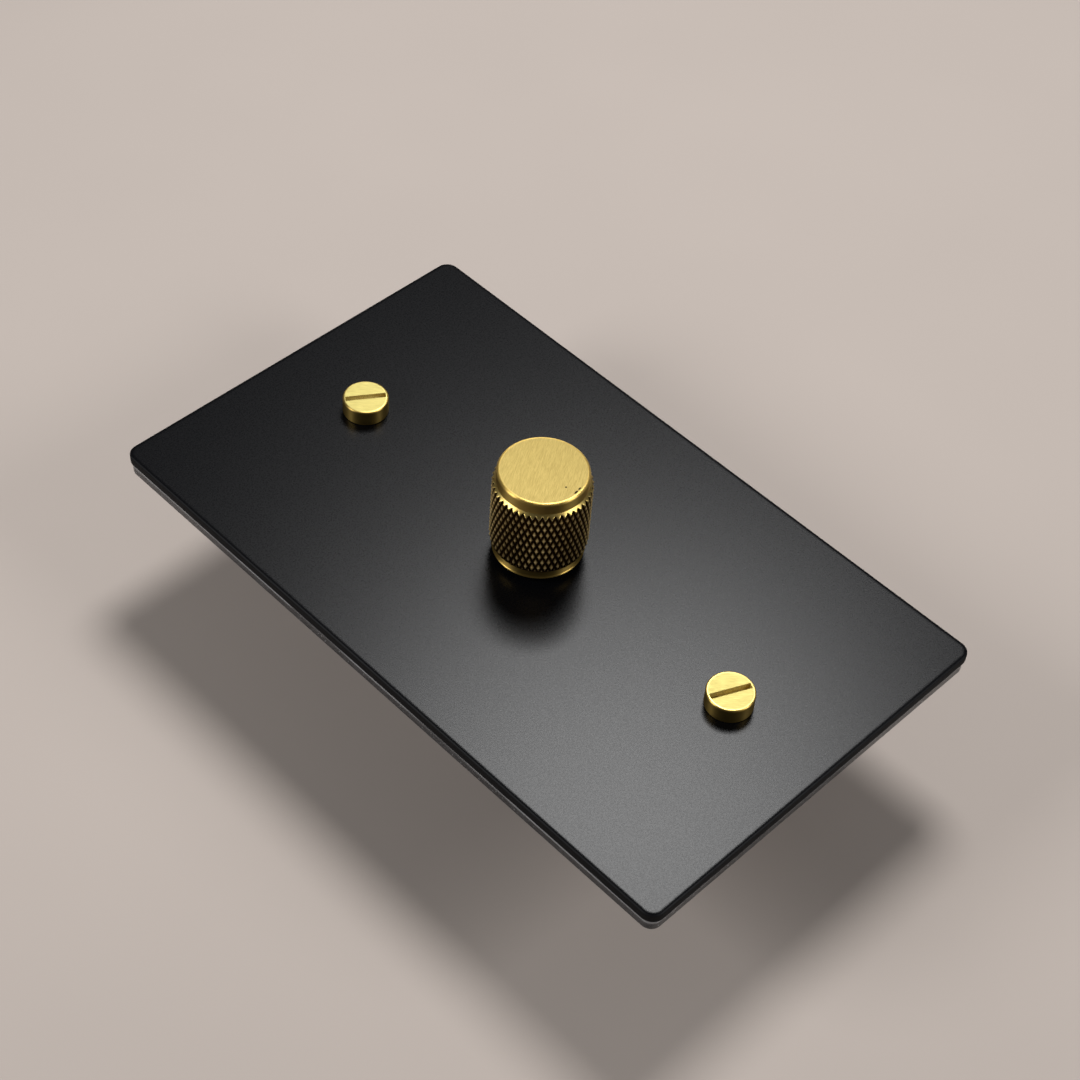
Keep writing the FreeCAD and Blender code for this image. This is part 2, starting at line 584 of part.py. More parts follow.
def make_bushing():
    """The die-cast flange, its threaded barrel and the four legs that hold the control together."""
    chamfer = BUSHING_END_CHAMFER
    bushing = turned([(0, FLANGE_LOW_Z), (CONTROL_RADIUS, FLANGE_LOW_Z), (CONTROL_RADIUS, FLANGE_TOP_Z),
                      (BUSHING_RADIUS, FLANGE_TOP_Z), (BUSHING_RADIUS, BUSHING_HEIGHT - chamfer),
                      (BUSHING_RADIUS - chamfer, BUSHING_HEIGHT), (0, BUSHING_HEIGHT)])
    for angle in leg_angles():
        shoulder = box(CONTROL_RADIUS / 2, CONTROL_RADIUS + RUNNING_GAP + LEG_THICKNESS, -LEG_WIDTH / 2,
                       LEG_WIDTH / 2, FLANGE_LOW_Z, FLANGE_TOP_Z)
        shoulder.rotate(Vector(0, 0, 0), Z_AXIS, angle)
        bushing = bushing.fuse(shoulder)
        bushing = bushing.fuse(control_leg(angle, LEG_WIDTH, BOARD_TOP_Z, FLANGE_TOP_Z))
        bushing = bushing.fuse(control_leg(angle, LEG_WIDTH / 2, PIN_END_Z, BOARD_TOP_Z))
    bore = upright(SHAFT_NECK_RADIUS + RUNNING_GAP, FLANGE_LOW_Z, BUSHING_HEIGHT)
    return bushing.cut(bore).removeSplitter()


def make_control_case():
    """The moulded ring round the rotor, with the fixed stop inside it."""
    case = upright(CONTROL_RADIUS, WAFER_TOP_Z, FLANGE_LOW_Z)
    case = case.cut(upright(CONTROL_RADIUS - CONTROL_WALL, WAFER_TOP_Z, FLANGE_LOW_Z))
    stop = sector(ROTOR_RADIUS + RUNNING_GAP, CONTROL_RADIUS - CONTROL_WALL / 2, ROTOR_LOW_Z,
                  FLANGE_LOW_Z, 270, STOP_ANGLE)
    return case.fuse(stop).removeSplitter()


def keyed_section(radius, flat, low, high):
    """A round bar with one flat on its +Y side."""
    bar = upright(radius, low, high)
    return bar.cut(box(-2 * radius, 2 * radius, flat, 2 * radius, low, high))


def make_rotor():
    """The moulded wheel that the shaft turns and slides in."""
    rim = ROTOR_RADIUS
    rim_top = FLANGE_LOW_Z - RUNNING_GAP
    wheel = turned([(0, ROTOR_LOW_Z), (rim, ROTOR_LOW_Z), (rim, rim_top), (ROTOR_RIM_INNER_RADIUS, rim_top),
                    (ROTOR_RIM_INNER_RADIUS, ROTOR_TOP_Z), (0, ROTOR_TOP_Z)])
    lug_angle = 360 - 2 * TURN_EACH_WAY - STOP_ANGLE - STOP_SPARE_ANGLE
    lug_root = (rim + ROTOR_RIM_INNER_RADIUS) / 2
    lug = sector(lug_root, rim + ROTOR_RIM_GAP - RUNNING_GAP, ROTOR_LOW_Z, rim_top, 90, lug_angle)
    bore = keyed_section(SHAFT_NECK_RADIUS + RUNNING_GAP, SHAFT_KEY_FLAT + RUNNING_GAP, ROTOR_LOW_Z,
                         ROTOR_TOP_Z)
    return wheel.fuse(lug).cut(bore).removeSplitter()


def make_wiper():
    """The spring contact under the rotor: a ring with two arms that end in pressed bumps."""
    plate_low = ROTOR_LOW_Z - WIPER_THICKNESS
    ring = upright(WIPER_INNER_RADIUS + WIPER_RING_WIDTH, plate_low, ROTOR_LOW_Z)
    ring = ring.cut(upright(WIPER_INNER_RADIUS, plate_low, ROTOR_LOW_Z))
    tip_low = WAFER_TOP_Z + RUNNING_GAP
    for angle in (90 - WIPER_ARM_ANGLE, 90 + WIPER_ARM_ANGLE):
        arm = sector(WIPER_INNER_RADIUS + WIPER_RING_WIDTH / 2, WIPER_OUTER_RADIUS, plate_low, ROTOR_LOW_Z,
                     angle, WIPER_ARM_ANGLE / 2)
        middle_radius = WIPER_OUTER_RADIUS - 2 * WIPER_TIP_RADIUS
        tip_x = middle_radius * math.cos(math.radians(angle))
        tip_y = middle_radius * math.sin(math.radians(angle))
        tip_place = Vector(tip_x, tip_y, tip_low)
        tip = Part.makeCone(WIPER_TIP_RADIUS / 2, WIPER_TIP_RADIUS, plate_low - tip_low, tip_place)
        ring = ring.fuse(arm).fuse(tip)
    return ring.removeSplitter()


def wafer_pin_places():
    y = -CONTROL_RADIUS + WAFER_PIN_INSET
    return [(-WAFER_PIN_PITCH, y), (0.0, y), (WAFER_PIN_PITCH, y)]


def wafer_pin(x, y, gap, low, high):
    half = WAFER_PIN_WIDTH / 2 + gap
    half_depth = WAFER_PIN_WIDTH / 4 + gap
    return box(x - half, x + half, y - half_depth, y + half_depth, low, high)


def make_wafer():
    """The disc that carries the resistance track."""
    wafer = upright(CONTROL_RADIUS, WAFER_LOW_Z, WAFER_TOP_Z)
    tools = [upright(WAFER_HOLE_RADIUS, WAFER_LOW_Z, WAFER_TOP_Z)]
    for x, y in wafer_pin_places():
        tools.append(wafer_pin(x, y, RUNNING_GAP, WAFER_LOW_Z, WAFER_TOP_Z - WAFER_THICKNESS / 3))
    return cut_all(wafer, tools)


def make_wafer_pins():
    top = WAFER_TOP_Z - WAFER_THICKNESS / 3 - RUNNING_GAP
    return Part.makeCompound([wafer_pin(x, y, 0, PIN_END_Z, top) for x, y in wafer_pin_places()])


def contact_places():
    return [(0.0, 0.0), (DOME_RADIUS - CONTACT_RADIUS, 0.0)]


def make_switch_base():
    """The moulded cup behind the wafer that holds the snap dome and guides the plunger."""
    base = upright(CONTROL_RADIUS, BOARD_TOP_Z, WAFER_LOW_Z)
    flat_y = -CONTROL_RADIUS + SWITCH_FLAT_INSET
    tools = [upright(SWITCH_POCKET_RADIUS, SWITCH_FLOOR_Z, WAFER_LOW_Z)]
    tools.append(box(-CONTROL_RADIUS, CONTROL_RADIUS, -2 * CONTROL_RADIUS, flat_y, BOARD_TOP_Z, WAFER_LOW_Z))
    for x, y in contact_places():
        tools.append(upright(CONTACT_RADIUS + RUNNING_GAP, BOARD_TOP_Z, SWITCH_FLOOR_Z, x, y))
    return cut_all(base, tools)


def make_switch_contacts():
    contacts = []
    for x, y in contact_places():
        contacts.append(upright(CONTACT_RADIUS, PIN_END_Z, SWITCH_FLOOR_Z, x, y))
    return Part.makeCompound(contacts)


def make_snap_dome():
    """A shallow sprung disc that rests on its rim, pressed from sheet as a stepped cone."""
    height = DOME_RISE - DOME_THICKNESS
    base = SWITCH_FLOOR_Z
    middle_radius = (DOME_RADIUS + PLUNGER_NUB_RADIUS) / 2
    middle = base + height * DOME_STEEPNESS
    top_radius = PLUNGER_NUB_RADIUS
    top = base + height
    return turned([(DOME_RADIUS, base), (middle_radius, middle), (top_radius, top), (0, top),
                   (0, top + DOME_THICKNESS), (top_radius, top + DOME_THICKNESS),
                   (middle_radius, middle + DOME_THICKNESS), (DOME_RADIUS, base + DOME_THICKNESS)])


def make_plunger():
    """The disc that slides in the cup and passes the push on to the dome."""
    disc_low = PLUNGER_TOP_Z - PLUNGER_THICKNESS / 2
    nub_low = DOME_TOP_Z + RUNNING_GAP
    disc = upright(SWITCH_POCKET_RADIUS - RUNNING_GAP, disc_low, PLUNGER_TOP_Z)
    return disc.fuse(upright(PLUNGER_NUB_RADIUS, nub_low, disc_low)).removeSplitter()


def make_shaft():
    """One turned bar: a flatted end for the knob, a neck in the bushing, a keyed part and a tail."""
    clip_top = FLANGE_LOW_Z - RUNNING_GAP
    clip_low = clip_top - CLIP_THICKNESS
    groove_radius = SHAFT_NECK_RADIUS - CLIP_GROOVE_DEPTH
    end_chamfer = CLIP_GROOVE_DEPTH
    tail_root = WAFER_TOP_Z + PUSH_TRAVEL + SHAFT_TIP_CLEARANCE
    bar = turned([(0, SHAFT_TAIL_Z), (SHAFT_TAIL_RADIUS, SHAFT_TAIL_Z),
                  (SHAFT_TAIL_RADIUS, tail_root), (SHAFT_NECK_RADIUS, tail_root),
                  (SHAFT_NECK_RADIUS, clip_low), (groove_radius, clip_low), (groove_radius, clip_top),
                  (SHAFT_NECK_RADIUS, clip_top), (SHAFT_NECK_RADIUS, SHAFT_SHOULDER_Z),
                  (SHAFT_RADIUS, SHAFT_SHOULDER_Z), (SHAFT_RADIUS, SHAFT_TOP_Z - end_chamfer),
                  (SHAFT_RADIUS - end_chamfer, SHAFT_TOP_Z), (0, SHAFT_TOP_Z)])
    reach = 2 * SHAFT_RADIUS
    knob_flat = box(-reach, reach, SHAFT_FLAT, reach, SHAFT_SHOULDER_Z, SHAFT_TOP_Z)
    key_flat = box(-reach, reach, SHAFT_KEY_FLAT, reach, tail_root, clip_low)
    return bar.cut(knob_flat).cut(key_flat)


def make_shaft_clip():
    """The open ring that snaps into the shaft's groove and stops it from being pulled out."""
    top = FLANGE_LOW_Z - RUNNING_GAP
    low = top - CLIP_THICKNESS
    clip = upright(CLIP_RADIUS, low, top)
    groove_radius = SHAFT_NECK_RADIUS - CLIP_GROOVE_DEPTH
    mouth = box(-CLIP_MOUTH / 2, CLIP_MOUTH / 2, -2 * CLIP_RADIUS, 0, low, top)
    relief = upright(SHAFT_NECK_RADIUS + CLIP_GROOVE_DEPTH, low, top)
    ring = clip.cut(upright(groove_radius, low, top))
    for pad_angle in CLIP_PAD_ANGLES:
        relief = relief.cut(sector(0, CLIP_RADIUS, low, top, pad_angle, CLIP_PAD_SPREAD))
    return ring.cut(relief).cut(mouth).removeSplitter()


def knurl_point(row, column):
    """Even places of the lattice are pyramid tips, odd ones are where two grooves cross.

    The first and last rows are the inner rims of the two bevels that a turning tool leaves, and the
    rows beside them lie on those bevels, so that the pyramids end there in a zigzag.
    """
    is_tip = (row + column) % 2 == 0
    radius = KNURL_CREST_RADIUS if is_tip else KNURL_CREST_RADIUS - KNURL_DEPTH
    row_height = (KNURL_HIGH_Z - KNURL_LOW_Z) / KNURL_ROWS
    z = KNURL_LOW_Z + (row - 1) * row_height
    foot_rim = KNOB_FOOT_RADIUS - KNURL_RIM_STEP
    cap_rim = KNOB_CAP_RADIUS + KNURL_RIM_STEP
    if row == 0:
        radius, z = foot_rim, KNURL_LOW_Z
    elif row == 1:
        z = KNURL_LOW_Z + abs(radius - foot_rim)
    elif row == KNURL_ROWS + 1:
        slope = KNOB_LEDGE_HEIGHT / (KNURL_CREST_RADIUS - cap_rim)
        z = CAP_ROOT_Z - slope * (radius - cap_rim)
    elif row == KNURL_ROWS + 2:
        radius, z = cap_rim, CAP_ROOT_Z
    angle = math.pi * column / KNURL_COUNT
    return Vector(radius * math.cos(angle), radius * math.sin(angle), z)


def knurled_bar():
    """A closed solid of rhombic pyramids, as two crossing sets of slanted grooves leave them."""
    columns = 2 * KNURL_COUNT
    bands = KNURL_ROWS + 2
    points = []
    for row in range(bands + 1):
        for column in range(columns):
            points.append(knurl_point(row, column))
    low_centre = len(points)
    points.append(Vector(0, 0, KNURL_LOW_Z))
    high_centre = len(points)
    points.append(Vector(0, 0, CAP_ROOT_Z))
    triangles = []
    for row in range(bands):
        for column in range(columns):
            here = row * columns + column
            beside = row * columns + (column + 1) % columns
            above = here + columns
            above_beside = beside + columns
            if (row + column) % 2 == 0:
                triangles.append((here, beside, above))
                triangles.append((beside, above_beside, above))
            else:
                triangles.append((here, beside, above_beside))
                triangles.append((here, above_beside, above))
    last_row = bands * columns
    for column in range(columns):
        beside = (column + 1) % columns
        triangles.append((low_centre, beside, column))
        triangles.append((high_centre, last_row + column, last_row + beside))
    shell = Part.Shape()
    shell.makeShapeFromMesh((points, triangles), 0.001)
    return Part.Solid(shell.removeSplitter())


def make_knob():
    """The knurled bar between a plain foot and a plain cap, bored for the shaft and the grub screw."""
    foot = turned([(0, KNOB_BASE_Z), (KNOB_FOOT_RADIUS - KNOB_FOOT_CHAMFER, KNOB_BASE_Z),
                   (KNOB_FOOT_RADIUS, KNOB_BASE_Z + KNOB_FOOT_CHAMFER), (KNOB_FOOT_RADIUS, KNURL_LOW_Z),
                   (0, KNURL_LOW_Z)])
    cap = upright(KNOB_CAP_RADIUS, CAP_ROOT_Z, KNOB_TOP_Z)
    cap = cap.makeFillet(KNOB_CAP_EDGE_RADIUS, edges_at_height(cap, KNOB_TOP_Z))
    knob = foot.fuse(knurled_bar()).fuse(cap)
    recess = upright(BUSHING_RADIUS + KNOB_RECESS_GAP, KNOB_BASE_Z, SHAFT_SHOULDER_Z)
    bore = upright(SHAFT_RADIUS + RUNNING_GAP, SHAFT_SHOULDER_Z, SHAFT_TOP_Z)
    grub_start = Vector(0, 0, grub_height())
    grub_hole = Part.makeCylinder(GRUB_RADIUS + RUNNING_GAP, 2 * KNURL_CREST_RADIUS, grub_start, Y_AXIS)
    return knob.cut(recess).cut(bore).cut(grub_hole)


def grub_height():
    return (SHAFT_SHOULDER_Z + SHAFT_TOP_Z) / 2


def make_grub_screw():
    """The headless screw that bears on the shaft's flat, with a hexagon socket."""
    outer_y = KNURL_CREST_RADIUS - KNURL_DEPTH - GRUB_SINK
    length = outer_y - SHAFT_FLAT
    body = turned([(0, 0), (GRUB_RADIUS - GRUB_POINT_CHAMFER, 0), (GRUB_RADIUS, GRUB_POINT_CHAMFER),
                   (GRUB_RADIUS, length), (0, length)])
    socket = hexagon(2 * GRUB_SOCKET_RADIUS, length - GRUB_SOCKET_DEPTH, length)
    screw = body.cut(socket)
    screw.rotate(Vector(0, 0, 0), X_AXIS, -90)
    screw.translate(Vector(0, SHAFT_FLAT, grub_height()))
    return screw


def lead_places():
    """Where each lead passes through the board."""
    half_resistor = RESISTOR_SPAN / 2
    places = []
    for y in (RESISTOR_HIGH_Y, RESISTOR_LOW_Y):
        places.append((SMALL_PARTS_X - half_resistor, y))
        places.append((SMALL_PARTS_X + half_resistor, y))
    for side in (-1, 1):
        places.append((SMALL_PARTS_X + side * DIODE_SPAN / 2, DIODE_Y))
        places.append((TIMING_X, side * TIMING_CAPACITOR_LENGTH / 3))
        places.append((FILM_X, FILM_Y + side * FILM_CAPACITOR_LENGTH / 3))
        places.append((CHOKE_X + side * CHOKE_CORE_HOLE / 2, CHOKE_Y))
        places.append((FUSE_X, FUSE_Y + side * fuse_clip_offset()))
    return places


def triac_leg_places():
    y = TRIAC_HIGH_Y + TRIAC_LEG_REACH
    return [(TRIAC_X - TRIAC_LEG_PITCH, y), (TRIAC_X, y), (TRIAC_X + TRIAC_LEG_PITCH, y)]


def make_circuit_board():
    board = box(-BOARD_HALF_WIDTH, BOARD_HALF_WIDTH, -BOARD_HALF_LENGTH, BOARD_HALF_LENGTH,
                BOARD_LOW_Z, BOARD_TOP_Z)
    tools = pin_holes(lead_places())
    for x, y in boss_places():
        tools.append(upright(BOSS_RADIUS + BOARD_TO_WALL, BOARD_LOW_Z, BOARD_TOP_Z, x, y))
    for x, y in triac_leg_places():
        tools.append(upright(TRIAC_LEG_WIDTH / 2 + PIN_HOLE_GAP, BOARD_LOW_Z, BOARD_TOP_Z, x, y))
    for x, y in wafer_pin_places():
        tools.append(wafer_pin(x, y, PIN_HOLE_GAP, BOARD_LOW_Z, BOARD_TOP_Z))
    for x, y in contact_places():
        tools.append(upright(CONTACT_RADIUS + PIN_HOLE_GAP, BOARD_LOW_Z, BOARD_TOP_Z, x, y))
    for angle in leg_angles():
        tools.append(control_leg(angle, LEG_WIDTH / 2, BOARD_LOW_Z, BOARD_TOP_Z, PIN_HOLE_GAP))
    for x in terminal_places():
        tools.append(upright(PIN_RADIUS + PIN_HOLE_GAP, BOARD_LOW_Z, BOARD_TOP_Z, x, clamp_middle_y()))
    return cut_all(board, tools)


def make_choke_core():
    low = choke_low()
    high = low + CHOKE_CORE_HEIGHT
    core = upright(CHOKE_CORE_RADIUS, low, high, CHOKE_X, CHOKE_Y)
    return core.cut(upright(CHOKE_CORE_HOLE, low, high, CHOKE_X, CHOKE_Y))


def choke_low():
    return BOARD_TOP_Z + CHOKE_WIRE


def make_choke_winding():
    """The closely wound wire as one sleeve round most of the core, with its two leads."""
    low = BOARD_TOP_Z
    high = choke_low() + CHOKE_CORE_HEIGHT + CHOKE_WIRE
    gap = CHOKE_WIRE_GAP
    sleeve = sector(CHOKE_CORE_HOLE - CHOKE_WIRE, CHOKE_RADIUS, low, high, 90, 360 - CHOKE_OPEN_ANGLE)
    tunnel_low = choke_low() - gap
    tunnel_high = choke_low() + CHOKE_CORE_HEIGHT + gap
    tunnel = upright(CHOKE_CORE_RADIUS + gap, tunnel_low, tunnel_high)
    tunnel = tunnel.cut(upright(CHOKE_CORE_HOLE - gap, tunnel_low, tunnel_high))
    sleeve = sleeve.cut(tunnel)
    lead_x = CHOKE_CORE_HOLE / 2
    lead_tops = low + CHOKE_WIRE
    bridge = box(-lead_x - PIN_RADIUS, -lead_x + PIN_RADIUS, -PIN_RADIUS, CHOKE_CORE_HOLE, low, lead_tops)
    other = box(lead_x - PIN_RADIUS, lead_x + PIN_RADIUS, -PIN_RADIUS, CHOKE_CORE_HOLE, low, lead_tops)
    winding = sleeve.fuse(bridge).fuse(other)
    for side in (-1, 1):
        winding = winding.fuse(upright(PIN_RADIUS, PIN_END_Z, lead_tops, side * lead_x, 0))
    winding.translate(Vector(CHOKE_X, CHOKE_Y, 0))
    return winding.removeSplitter()


def boxed_capacitor(width, length, height, x, y):
    """A moulded box with rounded upright edges and two leads below it."""
    body = rounded_slab(width / 2, length / 2, width / 8, BOARD_TOP_Z, BOARD_TOP_Z + height)
    for side in (-1, 1):
        body = body.fuse(upright(PIN_RADIUS, PIN_END_Z, BOARD_TOP_Z, 0, side * length / 3))
    body.translate(Vector(x, y, 0))
    return body


def make_film_capacitor():
    return boxed_capacitor(FILM_CAPACITOR_WIDTH, FILM_CAPACITOR_LENGTH, FILM_CAPACITOR_HEIGHT,
                           FILM_X, FILM_Y)


def make_timing_capacitor():
    return boxed_capacitor(TIMING_CAPACITOR_WIDTH, TIMING_CAPACITOR_LENGTH, TIMING_CAPACITOR_HEIGHT,
                           TIMING_X, 0)


def axial_part(radius, length, span, y, end_swell):
    """A small part lying on the board: a body and, at each end, a lead that turns down."""
    axis_z = BOARD_TOP_Z + radius + end_swell
    start = SMALL_PARTS_X - length / 2
    part = Part.makeCylinder(radius, length, Vector(start, y, axis_z), X_AXIS)
    if end_swell > 0:
        cap_length = length / 5
        for cap_start in (start, start + length - cap_length):
            cap_place = Vector(cap_start, y, axis_z)
            part = part.fuse(Part.makeCylinder(radius + end_swell, cap_length, cap_place, X_AXIS))
    for side in (-1, 1):
        body_end = SMALL_PARTS_X + side * length / 2
        part = part.fuse(bent_lead(body_end, SMALL_PARTS_X + side * span / 2, side, y, axis_z))
    return part


def bent_lead(start_x, end_x, side, y, axis_z):
    """A flat-sided wire that leaves a body along X and bends down through the board."""
    half = PIN_RADIUS * math.sqrt(0.5)
    outer_x = end_x + side * half
    low_x, high_x = sorted([start_x, outer_x])
    level = box(low_x, high_x, y - half, y + half, axis_z - half, axis_z + half)
    down = box(end_x - half, end_x + half, y - half, y + half, PIN_END_Z, axis_z - half)
    wire = level.fuse(down).removeSplitter()
    bends = []
    for edge in wire.Edges:
        centre = edge.CenterOfMass
        if abs(centre.x - outer_x) < 1e-5 and abs(centre.z - axis_z - half) < 1e-5:
            bends.append(edge)
    return wire.makeFillet(half, bends)


def make_resistors():
    pair = []
    for y in (RESISTOR_HIGH_Y, RESISTOR_LOW_Y):
        pair.append(axial_part(RESISTOR_RADIUS, RESISTOR_LENGTH, RESISTOR_SPAN, y, RESISTOR_END_SWELL))
    return Part.makeCompound(pair)


def make_trigger_diode():
    return axial_part(DIODE_RADIUS, DIODE_LENGTH, DIODE_SPAN, DIODE_Y, 0)


def fuse_clip_offset():
    return FUSE_LENGTH / 2 - FUSE_CAP_LENGTH / 2


def make_fuse():
    """A glass tube with a plain metal cap at each end."""
    start = FUSE_Y - FUSE_LENGTH / 2
    tube = Part.makeCylinder(FUSE_RADIUS - FUSE_CAP_STEP, FUSE_LENGTH, Vector(FUSE_X, start, FUSE_Z), Y_AXIS)
    for cap_start in (start, start + FUSE_LENGTH - FUSE_CAP_LENGTH):
        cap_place = Vector(FUSE_X, cap_start, FUSE_Z)
        tube = tube.fuse(Part.makeCylinder(FUSE_RADIUS, FUSE_CAP_LENGTH, cap_place, Y_AXIS))
    return tube


def make_fuse_clips():
    """Two spring clips: each is three quarters of a ring on a foot, soldered to the board."""
    clips = []
    inner = FUSE_RADIUS + RUNNING_GAP
    outer = inner + FUSE_CLIP_THICKNESS
    for side in (-1, 1):
        middle = FUSE_Y + side * fuse_clip_offset()
        start = middle - FUSE_CLIP_WIDTH / 2
        ring = Part.makeCylinder(outer, FUSE_CLIP_WIDTH, Vector(FUSE_X, start, FUSE_Z), Y_AXIS)
        foot = box(FUSE_X - FUSE_RADIUS / 2, FUSE_X + FUSE_RADIUS / 2, start, start + FUSE_CLIP_WIDTH,
                   BOARD_TOP_Z, FUSE_Z - FUSE_RADIUS / 2)
        ring = ring.fuse(foot)
        mouth = box(FUSE_X - outer, FUSE_X + outer, start, start + FUSE_CLIP_WIDTH, FUSE_Z + inner / 2,
                    FUSE_Z + 2 * outer)
        ring = ring.cut(mouth)
        ring = ring.cut(Part.makeCylinder(inner, FUSE_CLIP_WIDTH, Vector(FUSE_X, start, FUSE_Z), Y_AXIS))
        clips.append(ring.fuse(upright(PIN_RADIUS, PIN_END_Z, BOARD_TOP_Z, FUSE_X, middle)).removeSplitter())
    return Part.makeCompound(clips)


def make_triac():
    """The power switch: a moulded body on a metal tab that faces the yoke, with three bent legs."""
    top = -PAD_THICKNESS
    x_low = TRIAC_X - TRIAC_WIDTH / 2
    x_high = TRIAC_X + TRIAC_WIDTH / 2
    body = box(x_low, x_high, TRIAC_BODY_Y, TRIAC_HIGH_Y, top - TRIAC_THICKNESS, top)
    tab = box(x_low, x_high, TRIAC_LOW_Y, TRIAC_BODY_Y, top - TRIAC_TAB_THICKNESS, top)
    tab = tab.cut(upright(TRIAC_TAB_HOLE_RADIUS, top - TRIAC_TAB_THICKNESS, top, TRIAC_X, TRIAC_SCREW_Y))
    triac = body.fuse(tab)
    leg_z = top - TRIAC_LEG_DEPTH
    half = TRIAC_LEG_WIDTH / 2
    half_thick = TRIAC_LEG_THICKNESS / 2
    for x, y in triac_leg_places():
        leg_top = leg_z + half_thick
        triac = triac.fuse(box(x - half, x + half, TRIAC_HIGH_Y, y + half_thick, leg_z - half_thick, leg_top))
        triac = triac.fuse(box(x - half, x + half, y - half_thick, y + half_thick, PIN_END_Z, leg_top))
    return triac.removeSplitter()


def triac_pad_slab(grow, low, high):
    return box(TRIAC_X - TRIAC_WIDTH / 2 - grow, TRIAC_X + TRIAC_WIDTH / 2 + grow, TRIAC_LOW_Y - grow,
               TRIAC_HIGH_Y + grow, low, high)


def make_triac_pad():
    pad = triac_pad_slab(PAD_MARGIN, -PAD_THICKNESS, 0)
    return pad.cut(upright(TRIAC_TAB_HOLE_RADIUS, -PAD_THICKNESS, 0, TRIAC_X, TRIAC_SCREW_Y))


def triac_nut_top():
    return -PAD_THICKNESS - TRIAC_TAB_THICKNESS


def make_triac_nut():
    top = triac_nut_top()
    return nut(TRIAC_NUT_ACROSS_FLATS, TRIAC_SCREW_RADIUS + RUNNING_GAP, top - TRIAC_NUT_THICKNESS, top,
               TRIAC_X, TRIAC_SCREW_Y)


def make_triac_screw():
    low = triac_nut_top() - TRIAC_NUT_THICKNESS - TRIAC_SCREW_RADIUS / 2
    return countersunk_screw(TRIAC_SCREW_RADIUS, low, TRIAC_X, TRIAC_SCREW_Y)


def cover_post_places():
    return [(POST_X, POST_HIGH_Y), (-POST_X, POST_HIGH_Y), (POST_X, POST_LOW_Y), (-POST_X, POST_LOW_Y)]


def make_front_cover():
    """The moulded lid: a flat panel, a lip inside the walls and four posts that press on the board."""
    cover = rounded_slab(HOUSING_HALF_WIDTH, HOUSING_HALF_LENGTH, HOUSING_CORNER_RADIUS, -COVER_THICKNESS, 0)
    lip_half_width = HOUSING_HALF_WIDTH - HOUSING_WALL - COVER_LIP_GAP
    lip_half_length = HOUSING_HALF_LENGTH - HOUSING_WALL - COVER_LIP_GAP
    lip_low = -COVER_THICKNESS - COVER_LIP_HEIGHT
    lip = rounded_slab(lip_half_width, lip_half_length, HOUSING_CORNER_RADIUS / 2, lip_low, -COVER_THICKNESS)
    inside = box(COVER_LIP_THICKNESS - lip_half_width, lip_half_width - COVER_LIP_THICKNESS,
                 COVER_LIP_THICKNESS - lip_half_length, lip_half_length - COVER_LIP_THICKNESS,
                 lip_low, -COVER_THICKNESS)
    lip = lip.cut(inside)
    for x, y in boss_places():
        lip = lip.cut(upright(BOSS_RADIUS + COVER_LIP_GAP, lip_low, -COVER_THICKNESS, x, y))
    for x, y in cover_post_places():
        lip = lip.fuse(upright(COVER_POST_RADIUS, BOARD_TOP_Z, -COVER_THICKNESS, x, y))
    tools = [upright(BUSHING_RADIUS + BUSHING_HOLE_GAP, -COVER_THICKNESS, 0)]
    tools.append(triac_pad_slab(PAD_MARGIN + COVER_LIP_GAP, -COVER_THICKNESS - COVER_LIP_HEIGHT, 0))
    for x, y in boss_places():
        tools.append(upright(HOUSING_SCREW_RADIUS + PIN_HOLE_GAP, -COVER_THICKNESS, 0, x, y))
    return cut_all(cover.fuse(lip), tools).removeSplitter()


def make_rear_housing():
    """The moulded tub: walls, corner bosses, ribs under the board and openings for the terminals."""
    top = -COVER_THICKNESS
    tub = rounded_slab(HOUSING_HALF_WIDTH, HOUSING_HALF_LENGTH, HOUSING_CORNER_RADIUS, HOUSING_REAR_Z, top)
    tub = tub.makeFillet(HOUSING_EDGE_RADIUS, edges_at_height(tub, HOUSING_REAR_Z))
    inner_half_width = HOUSING_HALF_WIDTH - HOUSING_WALL
    inner_half_length = HOUSING_HALF_LENGTH - HOUSING_WALL
    inside = rounded_slab(inner_half_width, inner_half_length, HOUSING_CORNER_RADIUS / 2, REAR_WALL_Z, top)
    tub = tub.cut(inside)
    for x, y in boss_places():
        boss = upright(BOSS_RADIUS, REAR_WALL_Z, top, x, y)
        tub = tub.fuse(boss.common(inside))
    for sign in (-1, 1):
        for y in (-RIB_Y, 0, RIB_Y):
            wall_x = sign * inner_half_width
            rib_x = sign * (inner_half_width - RIB_REACH)
            rib = box(min(wall_x, rib_x), max(wall_x, rib_x), y - RIB_THICKNESS / 2, y + RIB_THICKNESS / 2,
                      REAR_WALL_Z, BOARD_LOW_Z)
            tub = tub.fuse(rib)
    tools = []
    pilot_low = YOKE_THICKNESS - HOUSING_SCREW_LENGTH - PILOT_SPARE_DEPTH
    for x, y in boss_places():
        tools.append(upright(HOUSING_SCREW_RADIUS + RUNNING_GAP, pilot_low, top, x, y))
    gap = COVER_LIP_GAP
    tools.append(box(-BLOCK_HALF_WIDTH - gap, BLOCK_HALF_WIDTH + gap, -2 * HOUSING_HALF_LENGTH,
                     gap - inner_half_length, REAR_WALL_Z, BOARD_LOW_Z))
    for x in terminal_places():
        tools.append(upright(TERMINAL_SCREW_HEAD_RADIUS + SCREW_WELL_GAP, HOUSING_REAR_Z, REAR_WALL_Z, x,
                             clamp_middle_y()))
    gauge_low_y = BLOCK_FRONT_Y + PART_GAP
    tools.append(box(-GAUGE_WIDTH / 2, GAUGE_WIDTH / 2, gauge_low_y, gauge_low_y + GAUGE_LENGTH,
                     HOUSING_REAR_Z, HOUSING_REAR_Z + GAUGE_DEPTH))
    return cut_all(tub, tools)


def terminal_places():
    first = -TERMINAL_PITCH * (TERMINAL_COUNT - 1) / 2
    return [first + index * TERMINAL_PITCH for index in range(TERMINAL_COUNT)]


